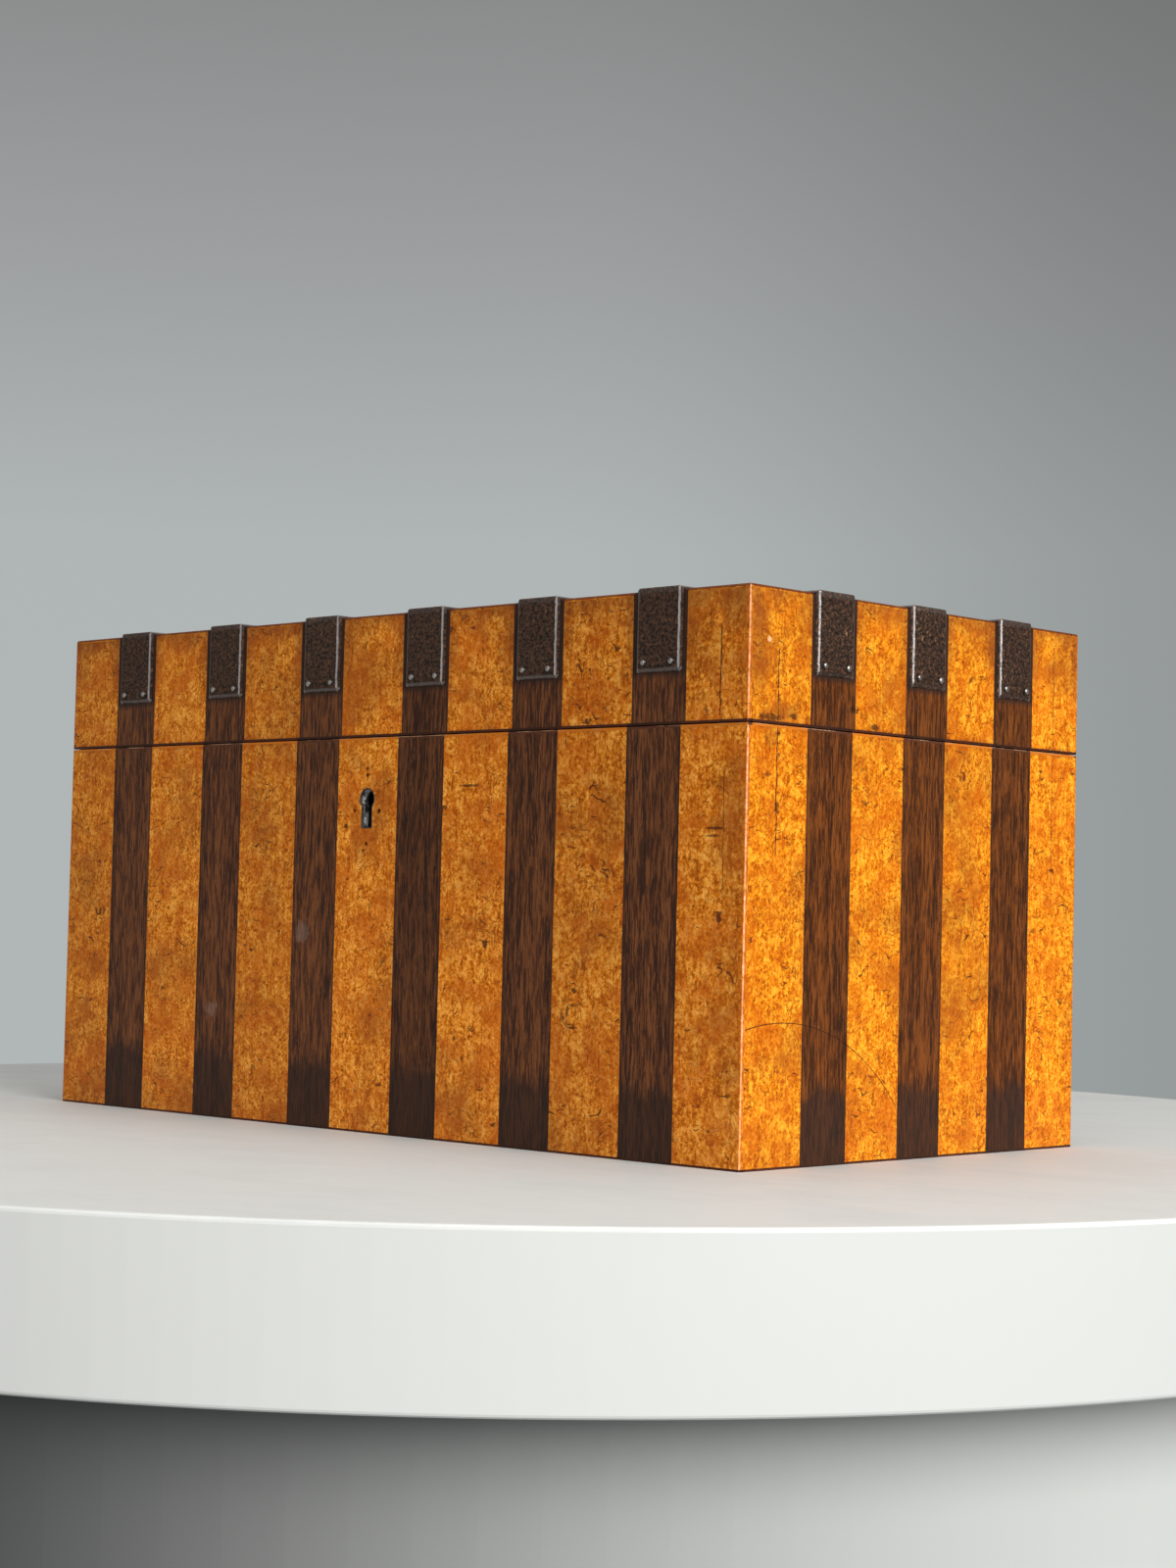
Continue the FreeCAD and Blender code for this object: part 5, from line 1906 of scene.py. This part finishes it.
@dataclass
class Studio:
    """Round pale table, grey surroundings and soft lamps."""

    table_middle: tuple[float, float] = (-21.5 * MM, 4.1 * MM)
    table_radius: float = 284.3 * MM
    table_height: float = 37.0 * MM
    foot_radius: float = 262.0 * MM
    foot_height: float = 400.0 * MM
    ambient: float = 0.30
    ambient_colour: Colour = tint(214, 219, 224)
    backdrop: tuple[tuple[float, Colour], ...] = ((0.0, tint(177, 183, 183)), (0.33, tint(176, 181, 181)),
                                                  (0.6, tint(155, 157, 158)), (0.8, tint(138, 140, 140)))
    backdrop_rise: float = 0.4
    fall_way: tuple[float, float] = (0.72, 0.69)
    fall_range: tuple[float, float] = (-0.02, 0.24)
    fall_share: float = 0.68
    drum: TableTop = TableTop("dark drum", tint(34, 34, 36), tint(28, 28, 30))
    lamps: tuple[Lamp, ...] = (Lamp("window lamp", (1.7, -0.35, 0.75), 1.3, 44.0),
                               Lamp("front fill", (0.55, -1.7, 0.7), 1.2, 8.0),
                               Lamp("top softbox", (-0.2, 0.2, 1.7), 1.4, 11.0))

    def disc(self, name: str, sides: int, radius: float, height: float, top: float, finish: Finish) -> Piece:
        """Stand a round block under the box.

        Args:
            name: Its name.
            sides: Sides of its outline.
            radius: Its radius.
            height: Its height.
            top: Level of its upper face.
            finish: Its finish.

        Returns:
            The block.
        """
        Workbench.clear()
        bpy.ops.mesh.primitive_cylinder_add(vertices=sides, radius=radius, depth=height,
                                            location=(*self.table_middle, top - height / 2))
        block = bpy.context.object
        block.name = name
        Workbench.settle(block)
        Workbench.coat(block, finish)
        return block

    def surroundings(self) -> None:
        """Light the object evenly, and show a grey backdrop to the camera and to gloss."""
        world = bpy.data.worlds.new("studio")
        bpy.context.scene.world = world
        world.use_nodes = True
        world.node_tree.nodes.clear()
        graph = Graph(world.node_tree)
        way = graph.split(graph.outputs(graph.add("TexCoord"))["Generated"])
        rising = graph.ramp(way["Z"].most(0.0) / self.backdrop_rise, self.backdrop)
        aside = way["X"] * self.fall_way[0] + way["Y"] * self.fall_way[1]
        fall = aside.ease(*self.fall_range, 1.0, self.fall_share)
        seen = graph.place("Background", graph.blend(1.0, rising, graph.join(fall, fall, fall), "MULTIPLY"))
        light = graph.place("Background", self.ambient_colour, self.ambient)
        rays = graph.outputs(graph.add("LightPath"))
        shown = rays["Is Camera Ray"].most(rays["Is Transmission Ray"]).most(rays["Is Glossy Ray"])
        graph.feed(graph.add("OutputWorld"), Surface=graph.place("MixShader", shown, light, seen))

    def make(self) -> None:
        """Build the whole studio."""
        top = self.disc("table_top", 256, self.table_radius, self.table_height, 0.0, TableTop())
        Workbench.round_edges(top, "soft rim", 1.0 * MM, 3, 60.0)
        self.disc("table_foot", 128, self.foot_radius, self.foot_height, -self.table_height, self.drum)
        self.surroundings()
        for lamp in self.lamps:
            lamp.make(Vector((0.0, 0.0, SIZES.lid_top / 2)))


@dataclass
class Box:
    """The whole box: veneers, boards, straps, pins, hinges, lock and lining."""

    brass: Finish = WorkedMetal("hinge brass", tint(190, 158, 92), tint(120, 92, 48), 0.32)
    steel: Finish = WorkedMetal("lock steel", tint(132, 130, 127), tint(84, 76, 70), 0.38)
    bright: Finish = WorkedMetal("bright steel", tint(186, 184, 180), tint(128, 122, 116), 0.26)
    screw: Finish = WorkedMetal("screw steel", tint(128, 124, 118), tint(78, 68, 60), 0.36)
    # Tint of the faces without their own: painted light and shade.
    usual_face_light_cast: Triple = (1.0, 1.0, 0.7)
    seed_step: float = 11.0
    hinge_middle: float = 82.0 * MM
    hinge_screw_step: float = 12.0 * MM
    hinge_screw_y: float = 65.3 * MM
    cover_screw_x: float = 26.0 * MM
    cover_screw_levels: tuple[float, float] = (85.5 * MM, 100.1 * MM)
    link_screw: tuple[float, float] = (21.0 * MM, -63.8 * MM)

    def __post_init__(self) -> None:
        """Prepare the dresser."""
        self.dresser = Dresser()

    def veneers(self) -> None:
        """Dress the maple and rosewood of every face."""
        marks = {Face.FRONT: FRONT_MARKS, Face.RIGHT: RIGHT_MARKS}
        # Each face's tint paints how the lamps light it, giving one wood lit and shaded copies.
        maple_face_light_casts = {Face.FRONT: (1.03, 1.04, 1.3), Face.RIGHT: (1.04, 1.04, 0.5)}
        rose_face_light_casts = {Face.FRONT: (0.80, 0.94, 1.35), Face.RIGHT: (1.0, 0.96, 0.7)}
        woods = (("maple", "burr maple", BurrMaple, maple_face_light_casts, 3.0),
                 ("rosewood", "rosewood", Rosewood, rose_face_light_casts, 3.5))
        for number, face in enumerate(Face):
            word = face.name.lower()
            for part in ("base", "lid"):
                if f"{part}_{word}_maple" not in self.dresser.nodes:
                    continue
                for wood, label, kind, face_light_casts, start in woods:
                    face_light_cast = face_light_casts.get(face, self.usual_face_light_cast)
                    seed = self.seed_step * number + start
                    finish = kind(f"{label} {part} {word}", face, SIZES.layout(face, part), seed, face_light_cast,
                                  marks.get(face, ()))
                    self.dresser.dress(finish, f"{part}_{word}_{wood}")

    def woods(self) -> None:
        """Dress the boards, rails and facings."""
        light, deep, rough = tint(164, 104, 62), tint(112, 62, 36), 0.46
        red, brown, smooth = tint(142, 62, 28), tint(84, 36, 18), 0.42
        self.dresser.dress(PlainWood("case wood long", light, deep, rough, "X"),
                           "base_front_board", "base_back_board", "lid_front_rail", "lid_back_rail",
                           "base_bottom_board", "lid_top_board")
        self.dresser.dress(PlainWood("case wood short", light, deep, rough, "Y"),
                           "base_left_board", "base_right_board", "lid_left_rail", "lid_right_rail")
        rim = EdgedFacing("facing base rim", red, brown, smooth, maple_edge=tint(196, 108, 26),
                          rose_edge=tint(84, 48, 30), line=tint(196, 150, 112),
                          line_level=SIZES.base_height - 0.22 * MM)
        self.dresser.dress(rim, "base_rim_facing")
        self.dresser.dress(EdgedFacing("facing lid rim", red, brown, smooth), "lid_rim_facing")
        self.dresser.dress(EdgedFacing("facing underside", red, brown, smooth), "base_underside_facing")

    def straps(self) -> None:
        """Dress the straps and ease their edges."""
        # Strap ends get a strong painted highlight on the cross straps, which end on the front and back, and
        # a faint one on the long straps.
        cross = StrapIron("strap iron cross", "X", "Y", SIZES.cross_pitch,
                          SIZES.cross_shift + SIZES.cross_pitch / 2, SIZES.half_depth, 0.42, 0.5)
        long = StrapIron("strap iron long", "Y", "X", SIZES.side_pitch, SIZES.side_shift,
                         SIZES.half_width, 0.08, 0.9)
        for finish, word, count in ((cross, "cross", SIZES.cross_count), (long, "long", SIZES.side_count)):
            names = [f"{word}_strap_{number}" for number in range(1, count + 1)]
            self.dresser.dress(finish, *names, eased=0.36 * MM, segments=4)
        StrapPins().make(PinSteel())

    def fittings(self) -> None:
        """Dress the hinges and the lock, and model their screws."""
        leaves = [f"{part}_hinge_leaf_{side}" for side in ("left", "right") for part in ("base", "lid")]
        self.dresser.dress(self.brass, *leaves, eased=0.12 * MM)
        self.dresser.dress(self.steel, "hinge_pins")
        self.dresser.dress(self.steel, "lock_case", "lock_cover_plate", "link_plate", eased=0.12 * MM)
        self.dresser.dress(self.bright, "lock_drill_pin", "lock_spring", "lock_bolt", eased=0.08 * MM)
        KeyholeLiner().make(LinerSteel())
        for fixing in self.screws():
            finish = self.brass if "hinge" in fixing.label else self.screw
            fixing.make(finish, len(fixing.label))

    def screws(self) -> list[SlottedScrews]:
        """Return every fixing, its places taken from the CAD screws it stands for.

        Returns:
            One set for each CAD node of screws.
        """
        hinge = [(side * self.hinge_middle + step * self.hinge_screw_step, self.hinge_screw_y)
                 for side in (-1, 1) for step in (-1, 0, 1)]
        cover = [(side * self.cover_screw_x, -SIZES.inner_y, level)
                 for side in (-1, 1) for level in self.cover_screw_levels]
        link = [(side * self.link_screw[0], self.link_screw[1], SIZES.lid_foot) for side in (-1, 1)]
        up, down, inwards, slot = (0, 0, 1), (0, 0, -1), (0, 1, 0), "screw_steel"
        return [
            SlottedScrews("base_hinge_screw", "base_hinge_screws", "base", slot,
                          [(*spot, SIZES.base_height) for spot in hinge], up),
            SlottedScrews("lid_hinge_screw", "lid_hinge_screws", "lid", slot,
                          [(*spot, SIZES.lid_foot) for spot in hinge], down),
            SlottedScrews("lock_cover_screw", "lock_screws", "base", slot, cover, inwards, length=5.6 * MM),
            SlottedScrews("link_screw", "link_plate_screws", "lid", slot, link, down),
        ]

    def make(self) -> None:
        """Dress and model every piece."""
        self.veneers()
        self.woods()
        self.straps()
        self.fittings()
        FloorLining().make(Cloth())


def main() -> None:
    """Build the box, the studio and the camera."""
    logging.basicConfig(level=logging.INFO)
    bpy.context.scene.view_settings.view_transform = "Standard"
    Box().make()
    Studio().make()
    PhotoCamera().make()


if __name__ == "__main__":
    main()
